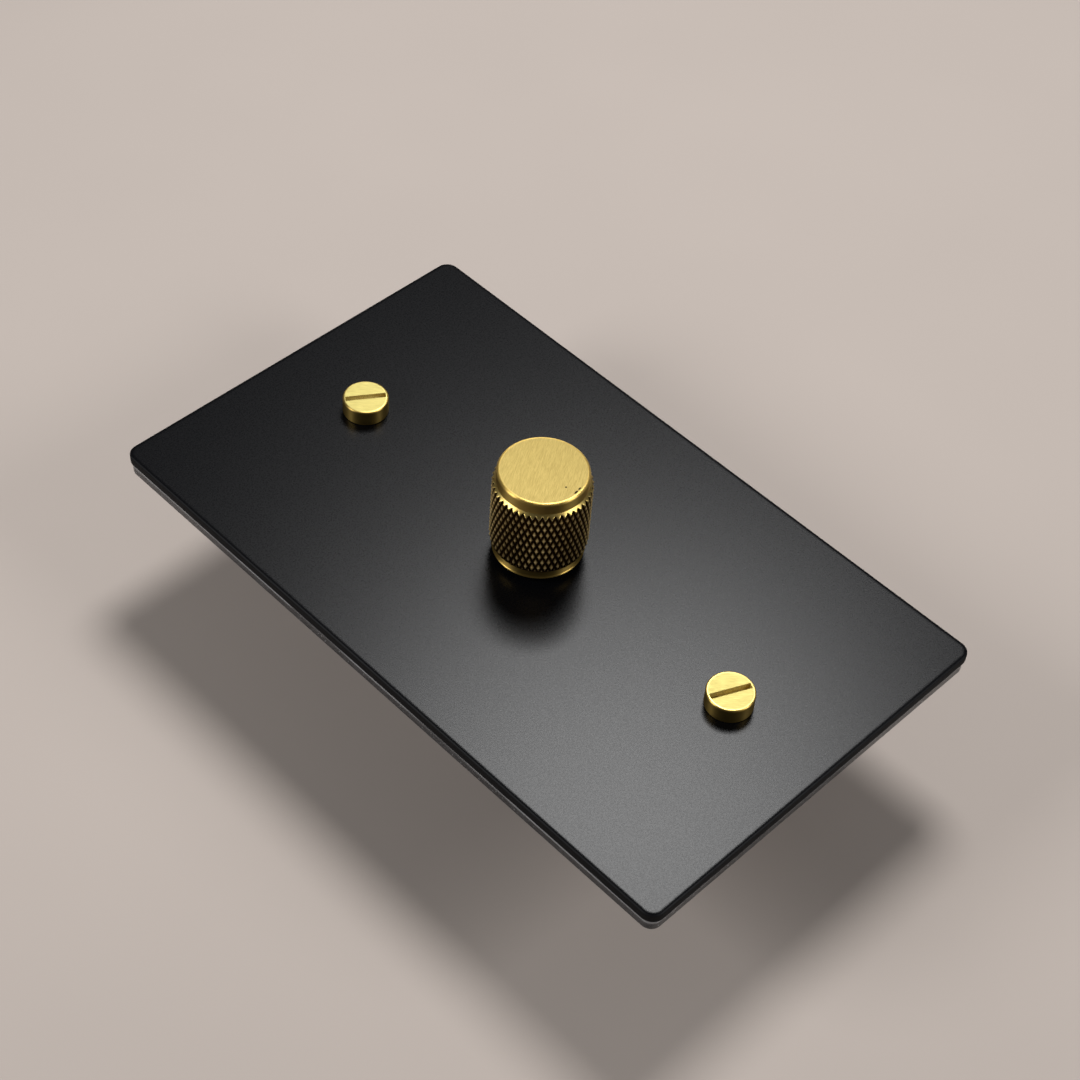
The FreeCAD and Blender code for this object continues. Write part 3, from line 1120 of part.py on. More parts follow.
def clamp_middle_y():
    return CLAMP_END_Y + CLAMP_LENGTH / 2


def wire_height():
    return CLAMP_LOW_Z + CLAMP_HEIGHT / 2


def make_terminal_block():
    """The moulded block: a pocket for each clamp, a wire entry at the end and a screw well behind."""
    block = box(-BLOCK_HALF_WIDTH, BLOCK_HALF_WIDTH, BLOCK_END_Y, BLOCK_FRONT_Y, REAR_WALL_Z, BOARD_LOW_Z)
    tools = []
    half = CLAMP_WIDTH / 2 + CLAMP_GAP
    entry_radius = WIRE_HOLE_RADIUS + RUNNING_GAP
    for x in terminal_places():
        tools.append(box(x - half, x + half, CLAMP_END_Y - CLAMP_GAP, CLAMP_END_Y + CLAMP_LENGTH + CLAMP_GAP,
                         CLAMP_LOW_Z, BOARD_LOW_Z))
        mouth = Vector(x, BLOCK_END_Y, wire_height())
        tools.append(Part.makeCylinder(entry_radius, CLAMP_END_Y - BLOCK_END_Y, mouth, Y_AXIS))
        tools.append(Part.makeCone(entry_radius + WIRE_ENTRY_CHAMFER, entry_radius, WIRE_ENTRY_CHAMFER, mouth,
                                   Y_AXIS))
        tools.append(upright(TERMINAL_SCREW_HEAD_RADIUS + SCREW_WELL_GAP, REAR_WALL_Z, CLAMP_LOW_Z, x,
                             clamp_middle_y()))
    return cut_all(block, tools)


def make_terminal_clamps():
    """Brass blocks with a hole for the wire, a threaded hole for the screw and a tail to the board."""
    clamps = []
    half = CLAMP_WIDTH / 2
    top = CLAMP_LOW_Z + CLAMP_HEIGHT
    for x in terminal_places():
        clamp = box(x - half, x + half, CLAMP_END_Y, CLAMP_END_Y + CLAMP_LENGTH, CLAMP_LOW_Z, top)
        wire_start = Vector(x, CLAMP_END_Y, wire_height())
        hole = Part.makeCylinder(WIRE_HOLE_RADIUS, CLAMP_LENGTH, wire_start, Y_AXIS)
        thread = upright(TERMINAL_SCREW_RADIUS + RUNNING_GAP, CLAMP_LOW_Z, wire_height(), x, clamp_middle_y())
        tail = upright(PIN_RADIUS, top, BOARD_TOP_Z + PIN_STICK_OUT, x, clamp_middle_y())
        clamps.append(clamp.cut(hole).cut(thread).fuse(tail))
    return Part.makeCompound(clamps)


def make_terminal_screws():
    """Short slotted screws that press the wire in its clamp, with their heads towards the rear."""
    screws = []
    head_low = CLAMP_LOW_Z - TERMINAL_SCREW_HEAD_HEIGHT
    tip = wire_height() - WIRE_HOLE_RADIUS / 2
    for x in terminal_places():
        head = upright(TERMINAL_SCREW_HEAD_RADIUS, head_low, CLAMP_LOW_Z)
        half = TERMINAL_SCREW_HEAD_RADIUS
        slot = box(-half, half, -TERMINAL_SLOT_WIDTH / 2, TERMINAL_SLOT_WIDTH / 2, head_low,
                   head_low + TERMINAL_SLOT_DEPTH)
        screw = head.cut(slot).fuse(upright(TERMINAL_SCREW_RADIUS, CLAMP_LOW_Z, tip))
        screw.translate(Vector(x, clamp_middle_y(), 0))
        screws.append(screw)
    return Part.makeCompound(screws)


NODES = {
    "face_plate": make_face_plate,
    "backing_plate": make_backing_plate,
    "face_plate_screws": make_face_plate_screws,
    "screw_retainers": make_screw_retainers,
    "mounting_yoke": make_yoke,
    "lock_washer": make_lock_washer,
    "bushing_nut": make_bushing_nut,
    "front_cover": make_front_cover,
    "rear_housing": make_rear_housing,
    "housing_screws": make_housing_screws,
    "control_bushing": make_bushing,
    "control_case": make_control_case,
    "rotor": make_rotor,
    "wiper": make_wiper,
    "resistance_wafer": make_wafer,
    "wafer_pins": make_wafer_pins,
    "switch_base": make_switch_base,
    "switch_contacts": make_switch_contacts,
    "snap_dome": make_snap_dome,
    "switch_plunger": make_plunger,
    "shaft": make_shaft,
    "shaft_clip": make_shaft_clip,
    "knob": make_knob,
    "knob_grub_screw": make_grub_screw,
    "circuit_board": make_circuit_board,
    "choke_core": make_choke_core,
    "choke_winding": make_choke_winding,
    "film_capacitor": make_film_capacitor,
    "timing_capacitor": make_timing_capacitor,
    "resistors": make_resistors,
    "trigger_diode": make_trigger_diode,
    "fuse": make_fuse,
    "fuse_clips": make_fuse_clips,
    "triac": make_triac,
    "triac_pad": make_triac_pad,
    "triac_screw": make_triac_screw,
    "triac_nut": make_triac_nut,
    "terminal_block": make_terminal_block,
    "terminal_clamps": make_terminal_clamps,
    "terminal_screws": make_terminal_screws,
}

os.makedirs("parts", exist_ok=True)
for node, make in NODES.items():
    make().exportStep("parts/" + node + ".step")
print("nodes written:", len(NODES))
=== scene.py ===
# %% [markdown]
# # A rotary dimmer, from its solids to its looks
#
# The object is a wall dimmer: a flat black plate on a smoked backing plate, two slotted brass
# screws and a knurled brass knob, with the housing and its electrical parts behind the wall plane.
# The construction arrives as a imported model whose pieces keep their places. This script gives every
# surface its finish, and rebuilds the few pieces whose fine detail the solids leave out.

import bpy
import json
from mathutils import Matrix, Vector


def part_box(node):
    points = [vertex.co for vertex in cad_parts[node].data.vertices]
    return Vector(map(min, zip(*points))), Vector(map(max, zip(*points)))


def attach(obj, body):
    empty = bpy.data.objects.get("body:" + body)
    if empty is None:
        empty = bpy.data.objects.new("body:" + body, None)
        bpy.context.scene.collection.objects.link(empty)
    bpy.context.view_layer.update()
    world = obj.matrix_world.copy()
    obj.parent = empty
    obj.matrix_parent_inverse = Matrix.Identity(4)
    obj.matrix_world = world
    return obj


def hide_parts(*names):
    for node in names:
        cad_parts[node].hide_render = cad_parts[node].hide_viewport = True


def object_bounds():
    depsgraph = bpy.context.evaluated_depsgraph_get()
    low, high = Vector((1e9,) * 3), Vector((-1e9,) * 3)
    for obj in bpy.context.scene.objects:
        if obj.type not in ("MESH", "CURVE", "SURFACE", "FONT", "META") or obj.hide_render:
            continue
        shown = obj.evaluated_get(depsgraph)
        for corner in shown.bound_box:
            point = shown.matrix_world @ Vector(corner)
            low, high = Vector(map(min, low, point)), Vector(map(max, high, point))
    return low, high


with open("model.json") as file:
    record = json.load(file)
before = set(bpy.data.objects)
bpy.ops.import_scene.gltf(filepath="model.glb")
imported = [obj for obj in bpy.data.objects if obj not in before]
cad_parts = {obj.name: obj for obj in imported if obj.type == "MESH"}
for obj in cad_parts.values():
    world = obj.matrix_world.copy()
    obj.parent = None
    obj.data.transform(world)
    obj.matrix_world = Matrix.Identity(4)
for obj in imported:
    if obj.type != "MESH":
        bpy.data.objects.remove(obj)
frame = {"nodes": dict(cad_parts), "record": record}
solid_low, solid_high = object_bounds()

# %% What the later cells use
import json
import math

import bmesh
import bpy
import mathutils
from mathutils import Matrix, Quaternion, Vector

MM = 0.001
nodes = frame["nodes"]
print("solids", len(nodes), "box in mm", [round(side / MM, 2) for side in solid_high - solid_low])

# %% [markdown]
# ## Seeing it as the photograph does
#
# The camera stands to the lower left of the plate and looks down at it with a long lens, turned a
# few degrees about its own axis. It could be aimed by eye, but the four corners of a flat plate fix
# a camera well, so its place, its aim and its turn are three measured values.

# %% Camera
CAMERA_PLACE = Vector((-0.16977, -0.15459, 0.26590))
CAMERA_AIM = Vector((0.00152, 0.00101, 0.00425))
CAMERA_TURN = math.radians(4.63)
CAMERA_LENS_MM = 72.32


def put(name, data):
    """A new object in the scene that shows the data."""
    thing = bpy.data.objects.new(name, data)
    bpy.context.scene.collection.objects.link(thing)
    return thing


def place_camera():
    camera = put("camera", bpy.data.cameras.new("camera"))
    camera.data.lens = CAMERA_LENS_MM
    camera.data.clip_start = 0.01
    camera.location = CAMERA_PLACE
    level = (CAMERA_AIM - CAMERA_PLACE).to_track_quat("-Z", "Y")
    camera.rotation_mode = "QUATERNION"
    camera.rotation_quaternion = level @ Quaternion((0, 0, 1), CAMERA_TURN)
    bpy.context.scene.camera = camera
    return camera


camera = place_camera()
print("lens", round(camera.data.lens, 2), "mm, camera",
      round((camera.location - CAMERA_AIM).length / MM), "mm from the plate")

# %% [markdown]
# ## Helpers for node finishes
#
# Every finish here is one Principled shader with a few texture nodes before it. The constants go on
# the shader's own sockets, where an export can read them, and only what varies over the surface
# comes through nodes. Small helpers make the nodes, so that each finish reads as a short recipe. A
# mix node keeps its sockets for colours, numbers and vectors in one list, so the helper for it has
# the places in that list as named values.

# %% Helpers: a finish and its nodes
def start_finish(name, colour, roughness, metallic=0.0):
    """A new material with its shader set to one colour, roughness and metalness."""
    finish = bpy.data.materials.new(name)
    finish.use_nodes = True
    shader = finish.node_tree.nodes["Principled BSDF"]
    shader.inputs["Base Color"].default_value = (*colour, 1.0)
    shader.inputs["Roughness"].default_value = roughness
    shader.inputs["Metallic"].default_value = metallic
    finish.diffuse_color = (*colour, 1.0)
    return finish, shader


def tell(finish):
    """Prints how many nodes a finish has, and hands it on."""
    print("finish", finish.name, "nodes", len(finish.node_tree.nodes))
    return finish


def scaled(colour, share):
    """The colour made darker by a share under 1, or paler by one above it."""
    return tuple(share * part for part in colour)


def add_node(finish, kind, links=None, values=None, **settings):
    """One node, with its settings, its typed values and its incoming links."""
    node = finish.node_tree.nodes.new(kind)
    for name, value in settings.items():
        setattr(node, name, value)
    for name, value in (values or {}).items():
        node.inputs[name].default_value = value
    for name, socket in (links or {}).items():
        finish.node_tree.links.new(socket, node.inputs[name])
    return node


def join(finish, socket, target):
    finish.node_tree.links.new(socket, target)


# %% Helpers: places and patterns
def object_place(finish):
    """The point on the surface, in metres, in the object's own frame."""
    return add_node(finish, "ShaderNodeTexCoord").outputs["Object"]


def stretched_place(finish, stretch, turn_degrees=0.0):
    """The same point, turned about Z and squeezed so that a noise becomes streaks."""
    turned = add_node(finish, "ShaderNodeMapping", links={"Vector": object_place(finish)},
                      values={"Rotation": (0.0, 0.0, math.radians(turn_degrees))})
    squeezed = add_node(finish, "ShaderNodeMapping", links={"Vector": turned.outputs["Vector"]},
                        values={"Scale": stretch})
    return squeezed.outputs["Vector"]


def noise(finish, place, size_mm, detail=2.0, roughness=0.5):
    """A soft random pattern whose lumps are about as large as size_mm."""
    node = add_node(finish, "ShaderNodeTexNoise", links={"Vector": place},
                    values={"Scale": 1.0 / (size_mm * MM), "Detail": detail, "Roughness": roughness})
    return node.outputs["Fac"]


print("noise scale for lumps of 1 mm", round(1.0 / MM))

# %% Helpers: what a pattern changes
def between(finish, pattern, low, high, start=0.3, end=0.7):
    """The pattern, spread from one value to another."""
    node = add_node(finish, "ShaderNodeMapRange", links={"Value": pattern},
                    values={"From Min": start, "From Max": end, "To Min": low, "To Max": high})
    return node.outputs["Result"]


def shades(finish, pattern, stops):
    """A colour for each value of the pattern: stops are (value, colour) pairs."""
    ramp = add_node(finish, "ShaderNodeValToRGB", links={"Fac": pattern})
    elements = ramp.color_ramp.elements
    while len(elements) < len(stops):
        elements.new(0.5)
    for element, (value, colour) in zip(elements, stops):
        element.position = value
        element.color = (*colour, 1.0)
    return ramp.outputs["Color"]


def raise_surface(finish, shader, pattern, height_mm, strength=1.0):
    """Makes the pattern a relief of the given height."""
    bump = add_node(finish, "ShaderNodeBump", links={"Height": pattern},
                    values={"Strength": strength, "Distance": height_mm * MM})
    join(finish, bump.outputs["Normal"], shader.inputs["Normal"])


def facing_up(finish, start, end):
    """0 where the surface faces sideways or down, 1 where it faces up."""
    normal = add_node(finish, "ShaderNodeNewGeometry").outputs["Normal"]
    parts = add_node(finish, "ShaderNodeSeparateXYZ", links={"Vector": normal})
    return between(finish, parts.outputs["Z"], 0.0, 1.0, start=start, end=end)


# %% Helpers: sums and mixes
def feed(finish, value, target):
    """Joins a socket to the target, or sets a plain number, vector or colour there."""
    if isinstance(value, bpy.types.NodeSocket):
        join(finish, value, target)
    elif target.type == "RGBA":
        target.default_value = (*value, 1.0)
    else:
        target.default_value = value


def calculate(finish, operation, *values):
    """The result of one sum; each value is a socket or a number."""
    node = add_node(finish, "ShaderNodeMath", operation=operation)
    for value, target in zip(values, node.inputs):
        feed(finish, value, target)
    return node.outputs["Value"]


COLOUR_FACTOR, COLOUR_A, COLOUR_B, COLOUR_OUT = 0, 6, 7, 2
NUMBER_FACTOR, NUMBER_A, NUMBER_B, NUMBER_OUT = 0, 2, 3, 0
VECTOR_FACTOR, VECTOR_A, VECTOR_B, VECTOR_OUT = 0, 4, 5, 1


def mix(finish, kind, factor, first, second):
    """Mixes two colours, numbers or vectors; each is a socket or a plain value."""
    slots = {"RGBA": (COLOUR_FACTOR, COLOUR_A, COLOUR_B, COLOUR_OUT),
             "FLOAT": (NUMBER_FACTOR, NUMBER_A, NUMBER_B, NUMBER_OUT),
             "VECTOR": (VECTOR_FACTOR, VECTOR_A, VECTOR_B, VECTOR_OUT)}[kind]
    node = add_node(finish, "ShaderNodeMix", data_type=kind)
    join(finish, factor, node.inputs[slots[0]])
    feed(finish, first, node.inputs[slots[1]])
    feed(finish, second, node.inputs[slots[2]])
    return node.outputs[slots[3]]


# %% [markdown]
# ## The black coat on the face plate
#
# The plate is thin metal under a satin powder coat. Close up, such a coat is a field of tiny soft
# lumps: they spread the light of a lamp into the broad grey sheen that lies over the near corner.
# A plain low gloss would give the sheen but look like plastic, so a fine relief and a slight change
# of gloss from place to place go with it. Where the coat turns down over the rim it is duller, so
# that the lamps at the sides draw no line there and the rim stays black.

# %% Finish: black coat
COAT_BLACK = (0.0012, 0.0013, 0.0019)
COAT_GREY = (0.0030, 0.0031, 0.0038)
COAT_GLOSS = (0.268, 0.300)
COAT_EDGE_GLOSS = 0.7
COAT_EDGE_TILT = (0.75, 0.95)
COAT_SPECULAR = 0.15
COAT_GRAIN_MM = 0.28
COAT_RELIEF_MM = 0.004


def black_coat():
    finish, shader = start_finish("black_coat", COAT_BLACK, sum(COAT_GLOSS) / 2)
    shader.inputs["Specular IOR Level"].default_value = COAT_SPECULAR
    grain = noise(finish, object_place(finish), COAT_GRAIN_MM, detail=3.0, roughness=0.65)
    speckle = shades(finish, grain, [(0.3, COAT_BLACK), (0.7, COAT_GREY)])
    join(finish, speckle, shader.inputs["Base Color"])
    top_gloss = between(finish, grain, *COAT_GLOSS, start=0.42, end=0.58)
    gloss = mix(finish, "FLOAT", facing_up(finish, *COAT_EDGE_TILT), COAT_EDGE_GLOSS, top_gloss)
    join(finish, gloss, shader.inputs["Roughness"])
    raise_surface(finish, shader, grain, COAT_RELIEF_MM, strength=0.35)
    return finish


plate_coat = tell(black_coat())

# %% [markdown]
# ## The smoked backing plate
#
# Behind the metal lies a thicker plate of smoked acrylic with polished edges. Light enters it, so
# its edge looks grey where the plate above it is black. It is made as tinted glass-like plastic:
# half clear, dark in its colour, with scuffs that change the gloss and the colour a little. Light
# that leaves the upper rim shows as a pale line under the metal plate, brighter in some places than
# in others. A band of pale colour above a set height stands for it, which is simpler than tracing
# that light through the plate. A few pale flecks stand for dust and small chips.

# %% Finish: smoked plastic
SMOKE = (0.020, 0.022, 0.027)
SMOKE_SCUFFED = (0.075, 0.080, 0.090)
SMOKE_GLOSS = (0.07, 0.22)
SMOKE_CLEARNESS = 0.5
ACRYLIC_IOR = 1.49
SCUFF_MM = 2.5
RIM_GREY = (0.62, 0.64, 0.67)
RIM_LOW = 1.45 * MM
RIM_BAND = 0.5 * MM
PATCH_MM = 14.0
SPECK_MM = 0.5


def smoked_plastic():
    finish, shader = start_finish("smoked_plastic", SMOKE, 0.12)
    shader.inputs["IOR"].default_value = ACRYLIC_IOR
    shader.inputs["Transmission Weight"].default_value = SMOKE_CLEARNESS
    place = object_place(finish)
    scuffs = noise(finish, place, SCUFF_MM, detail=5.0, roughness=0.7)
    join(finish, between(finish, scuffs, *SMOKE_GLOSS), shader.inputs["Roughness"])
    haze = shades(finish, scuffs, [(0.35, SMOKE), (0.75, SMOKE_SCUFFED)])
    height = add_node(finish, "ShaderNodeSeparateXYZ", links={"Vector": place}).outputs["Z"]
    near_rim = between(finish, height, 0.0, 1.0, start=RIM_LOW, end=RIM_LOW + RIM_BAND)
    patches = between(finish, noise(finish, place, PATCH_MM), 0.25, 1.0, start=0.4, end=0.6)
    glow = calculate(finish, "MULTIPLY", near_rim, patches)
    specks = between(finish, noise(finish, place, SPECK_MM, detail=1.0), 0.0, 0.8, start=0.70, end=0.74)
    pale = calculate(finish, "MAXIMUM", glow, specks)
    join(finish, mix(finish, "RGBA", pale, haze, RIM_GREY), shader.inputs["Base Color"])
    return finish


backing_smoke = tell(smoked_plastic())

# %% [markdown]
# ## Brushed and turned brass
#
# The flat tops are brushed in one direction and the sides still show the turning tool, as fine
# rings. One finish can do both: it asks which way the surface faces, uses streaks on what faces up
# and rings on what faces sideways. The streaks are noise stretched to about twelve times its width.
# Such marks also spread a highlight across themselves and keep it short along themselves, which is
# the shader's anisotropy. That is why the knob's top looks duller than the screws', whose marks run
# the other way and whose brass is paler. The rounded rims and the sides are glossier than the tops,
# and they take a darker brown. Part of it is the patina of old brass, and part is painted shade that
# dims the highlight on the far side of the rim. The knob's top also has three small dark spots of wear.

# %% Helpers for brass
BRASS_PALE = (0.66, 0.52, 0.19)
BRASS_DEEP = (0.52, 0.40, 0.135)
# Darker brown for rims and sides: partly patina, partly painted shade.
BRASS_PATINA_AND_SHADE = (0.48, 0.33, 0.09)
SCREW_PALE = (0.65, 0.565, 0.21)
SCREW_DEEP = (0.53, 0.45, 0.155)
STREAK_STRETCH = (1.0, 0.08, 1.0)
STREAK_MM = 0.1
RING_STRETCH = (0.03, 0.03, 1.0)
RING_MM = 0.07


def brass_marks(finish, is_top, brushing):
    """Straight brushing on the tops and rings on the sides, as one pattern."""
    brushed = stretched_place(finish, STREAK_STRETCH, brushing)
    streaks = noise(finish, brushed, STREAK_MM, detail=5.0, roughness=0.6)
    rings = noise(finish, stretched_place(finish, RING_STRETCH), RING_MM, detail=3.0)
    return mix(finish, "FLOAT", is_top, rings, streaks)


def wear_spot(finish, centre_mm, half_sizes_mm, turn_degrees):
    """1 inside a small ellipse on a surface that faces up, with a soft edge."""
    turned = add_node(finish, "ShaderNodeMapping", links={"Vector": object_place(finish)},
                      values={"Location": [side * MM for side in centre_mm],
                              "Rotation": (0.0, 0.0, math.radians(turn_degrees)),
                              "Scale": [side * MM for side in half_sizes_mm]},
                      vector_type="TEXTURE")
    distance = add_node(finish, "ShaderNodeVectorMath", operation="LENGTH",
                        links={"Vector": turned.outputs["Vector"]})
    return between(finish, distance.outputs["Value"], 1.0, 0.0, start=0.6, end=1.2)


def across_marks(finish, is_top, brushing):
    """The direction across the marks, which turns with the object."""
    angle = math.radians(brushing)
    across = mix(finish, "VECTOR", is_top, (0.0, 0.0, 1.0), (math.cos(angle), -math.sin(angle), 0.0))
    turned = add_node(finish, "ShaderNodeVectorTransform", links={"Vector": across},
                      vector_type="VECTOR", convert_from="OBJECT", convert_to="WORLD")
    return turned.outputs["Vector"]


print("a brush mark is", STREAK_STRETCH[0] / STREAK_STRETCH[1], "times as long as wide")

# %% Finish: brass
KNOB_BRUSHING = 58.0
KNOB_GLOSS = 0.68
KNOB_ANISOTROPY = 0.88
SCREW_BRUSHING = 134.0
SCREW_GLOSS = 0.62
SCREW_ANISOTROPY = 0.7
SIDE_GLOSS = 0.36
MARK_GLOSS = 0.05
MARK_DEPTH_MM = 0.003
TOP_TILT = (0.9965, 0.9995)
# Tilts at which rims and sides turn to the darker brown of patina and painted shade.
KNOB_PATINA_SHADE_TILT = (0.9960, 0.9994)
SCREW_PATINA_SHADE_TILT = (0.985, 0.9996)
WORN_DARK = (0.02, 0.014, 0.005)


def brass(name, tops, brushing, top_gloss, anisotropy, patina_shade_tilt, spots=()):
    """Tops are the deep and the pale colour of what faces up.

    Spots are small dark marks of wear: a centre, half sizes and a turn for each.
    """
    deep, pale = tops
    finish, shader = start_finish(name, pale, top_gloss, metallic=1.0)
    shader.inputs["Anisotropic"].default_value = anisotropy
    is_top = facing_up(finish, *TOP_TILT)
    marks = brass_marks(finish, is_top, brushing)
    rubbed = shades(finish, marks, [(0.3, deep), (0.65, pale)])
    # Rims and sides get the darker brown: partly patina, partly painted shade that dims the far rim.
    colour = mix(finish, "RGBA", facing_up(finish, *patina_shade_tilt), BRASS_PATINA_AND_SHADE, rubbed)
    for spot in spots:
        colour = mix(finish, "RGBA", wear_spot(finish, *spot), colour, WORN_DARK)
    join(finish, colour, shader.inputs["Base Color"])
    gloss = between(finish, is_top, SIDE_GLOSS, top_gloss, start=0.0, end=1.0)
    rougher = between(finish, marks, MARK_GLOSS, -MARK_GLOSS)
    join(finish, calculate(finish, "ADD", gloss, rougher), shader.inputs["Roughness"])
    join(finish, across_marks(finish, is_top, brushing), shader.inputs["Tangent"])
    raise_surface(finish, shader, marks, MARK_DEPTH_MM, strength=0.5)
    return finish


screw_brass = tell(brass("brass", (SCREW_DEEP, SCREW_PALE), SCREW_BRUSHING, SCREW_GLOSS,
                         SCREW_ANISOTROPY, SCREW_PATINA_SHADE_TILT))

# %% [markdown]
# ## Brass with dark grooves, for the knurl
#
# On a knurled grip the patina stays in the grooves while hands polish the tips. The depth of a point
# is its distance from the knob's axis, which the finish can work out from the point's X and Y. So
# the dark brown of the grooves follows the mesh exactly, with no painting. The tips are satin. The
# cone under the cap was turned after the knurl, so whatever faces up there is clean and glossier.

# %% Finish: knurled brass
GROOVE_BROWN = (0.05, 0.024, 0.006)
TIP_PALE = (0.96, 0.75, 0.36)
TIP_DEEP = (0.86, 0.63, 0.26)
TIP_GLOSS = 0.55
LEDGE_GLOSS = 0.33
LEDGE_TILT = (0.5, 0.65)
GROOVE_SHARE = 0.6
TIP_SHARE = 0.15
knob_low, knob_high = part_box("knob")
CREST_RADIUS = knob_high.x
KNURL_DEPTH = 0.42 * MM


def axis_distance(finish):
    parts = add_node(finish, "ShaderNodeSeparateXYZ", links={"Vector": object_place(finish)})
    flat = add_node(finish, "ShaderNodeCombineXYZ",
                    links={"X": parts.outputs["X"], "Y": parts.outputs["Y"]})
    length = add_node(finish, "ShaderNodeVectorMath", operation="LENGTH",
                      links={"Vector": flat.outputs["Vector"]})
    return length.outputs["Value"]


def knurled_brass():
    finish, shader = start_finish("knurled_brass", BRASS_PALE, 0.4, metallic=1.0)
    height = between(finish, axis_distance(finish), 0.0, 1.0,
                     start=CREST_RADIUS - GROOVE_SHARE * KNURL_DEPTH,
                     end=CREST_RADIUS - TIP_SHARE * KNURL_DEPTH)
    ledge = facing_up(finish, *LEDGE_TILT)
    clean = calculate(finish, "MAXIMUM", ledge, height)
    mottle = noise(finish, object_place(finish), 0.5, detail=3.0)
    tips = shades(finish, mottle, [(0.35, TIP_DEEP), (0.65, TIP_PALE)])
    turned = shades(finish, mottle, [(0.35, BRASS_PATINA_AND_SHADE), (0.65, BRASS_DEEP)])
    metal = mix(finish, "RGBA", ledge, tips, turned)
    colour = mix(finish, "RGBA", clean, GROOVE_BROWN, metal)
    join(finish, colour, shader.inputs["Base Color"])
    gloss = between(finish, ledge, TIP_GLOSS, LEDGE_GLOSS, start=0.0, end=1.0)
    join(finish, gloss, shader.inputs["Roughness"])
    return finish


grip_brass = tell(knurled_brass())

# %% [markdown]
# ## Moulded plastics, sheet metals and lacquers inside
#
# Most parts behind the wall plane are made in one of three ways: moulded, rolled from sheet, or
# dipped in lacquer. One function for each way takes the colour, so that two mouldings differ in
# colour but share the fine spark texture of their tools.

# %% Finishes for moulded and sheet parts
FLOW_MM = 9.0
ROLLING_TURN = 90.0
ROLLING_STRETCH = (1.0, 0.04, 1.0)
LACQUER_COAT_GLOSS = 0.12


def moulded(name, colour, roughness=0.5, grain_mm=0.12):
    """Plastic with the fine texture of a spark-eroded tool."""
    finish, shader = start_finish(name, colour, roughness)
    place = object_place(finish)
    grain = noise(finish, place, grain_mm, detail=3.0, roughness=0.7)
    flow = noise(finish, place, FLOW_MM, detail=2.0)
    cloudy = shades(finish, flow, [(0.3, scaled(colour, 0.82)), (0.7, colour)])
    join(finish, cloudy, shader.inputs["Base Color"])
    join(finish, between(finish, grain, roughness - 0.06, roughness + 0.06), shader.inputs["Roughness"])
    raise_surface(finish, shader, grain, 0.012, strength=0.5)
    return finish


def rolled(name, colour, roughness):
    """Plated or bare sheet metal with the long marks of the rolls."""
    finish, shader = start_finish(name, colour, roughness, metallic=1.0)
    along_rolls = stretched_place(finish, ROLLING_STRETCH, ROLLING_TURN)
    streaks = noise(finish, along_rolls, 0.12, detail=4.0)
    clouds = noise(finish, object_place(finish), 6.0)
    cloudy = shades(finish, clouds, [(0.3, scaled(colour, 0.86)), (0.7, colour)])
    join(finish, cloudy, shader.inputs["Base Color"])
    join(finish, between(finish, streaks, roughness - 0.07, roughness + 0.07), shader.inputs["Roughness"])
    raise_surface(finish, shader, streaks, 0.003, strength=0.4)
    return finish


def lacquered(name, colour, coat=0.6):
    """A dipped or lacquered body: soft colour changes under a clear coat."""
    finish, shader = start_finish(name, colour, 0.4)
    shader.inputs["Coat Weight"].default_value = coat
    shader.inputs["Coat Roughness"].default_value = LACQUER_COAT_GLOSS
    mottle = noise(finish, object_place(finish), 1.2, detail=4.0)
    cloudy = shades(finish, mottle, [(0.35, scaled(colour, 0.7)), (0.65, colour)])
    join(finish, cloudy, shader.inputs["Base Color"])
    raise_surface(finish, shader, mottle, 0.02, strength=0.3)
    return finish


housing_black = tell(moulded("black_moulding", (0.022, 0.022, 0.024)))
yoke_metal = tell(rolled("aluminium", (0.78, 0.78, 0.79), 0.38))
core_lacquer = tell(lacquered("core", (0.62, 0.46, 0.08)))

# %% [markdown]
# ## The board, the winding and the glass
#
# A few parts need a pattern of their own. The board's copper tracks lie under its green mask, as
# slightly paler lines, which a grid of bricks gives. The choke's solid is one plain sleeve, so the
# turns of wire come from the angle about the coil's axis, as bands with round relief. The glass of
# the fuse and the diode is clear, with a faint haze.

# %% Finishes with a pattern of their own
MASK_GREEN = (0.02, 0.14, 0.06)
TRACK_GREEN = (0.05, 0.24, 0.1)
TRACK_GRID = 6.0 * MM
WIRE_COPPER = (0.62, 0.22, 0.08)
WIRE_BRIGHT = (0.66, 0.25, 0.1)
# Painted shade in the crevices between the turns of wire.
WIRE_GAP_SHADE = (0.12, 0.03, 0.01)
WIRE_TURNS = 46.0
GLASS_CLEAR = (0.9, 0.93, 0.93)


def board_mask():
    finish, shader = start_finish("board_mask", MASK_GREEN, 0.35)
    shader.inputs["Coat Weight"].default_value = 0.4
    bricks = add_node(finish, "ShaderNodeTexBrick", links={"Vector": object_place(finish)},
                      values={"Scale": 1.0 / TRACK_GRID, "Mortar Size": 0.06, "Mortar Smooth": 0.1})
    tracks = shades(finish, bricks.outputs["Fac"], [(0.2, MASK_GREEN), (0.8, TRACK_GREEN)])
    join(finish, tracks, shader.inputs["Base Color"])
    raise_surface(finish, shader, bricks.outputs["Fac"], 0.03, strength=0.5)
    return finish


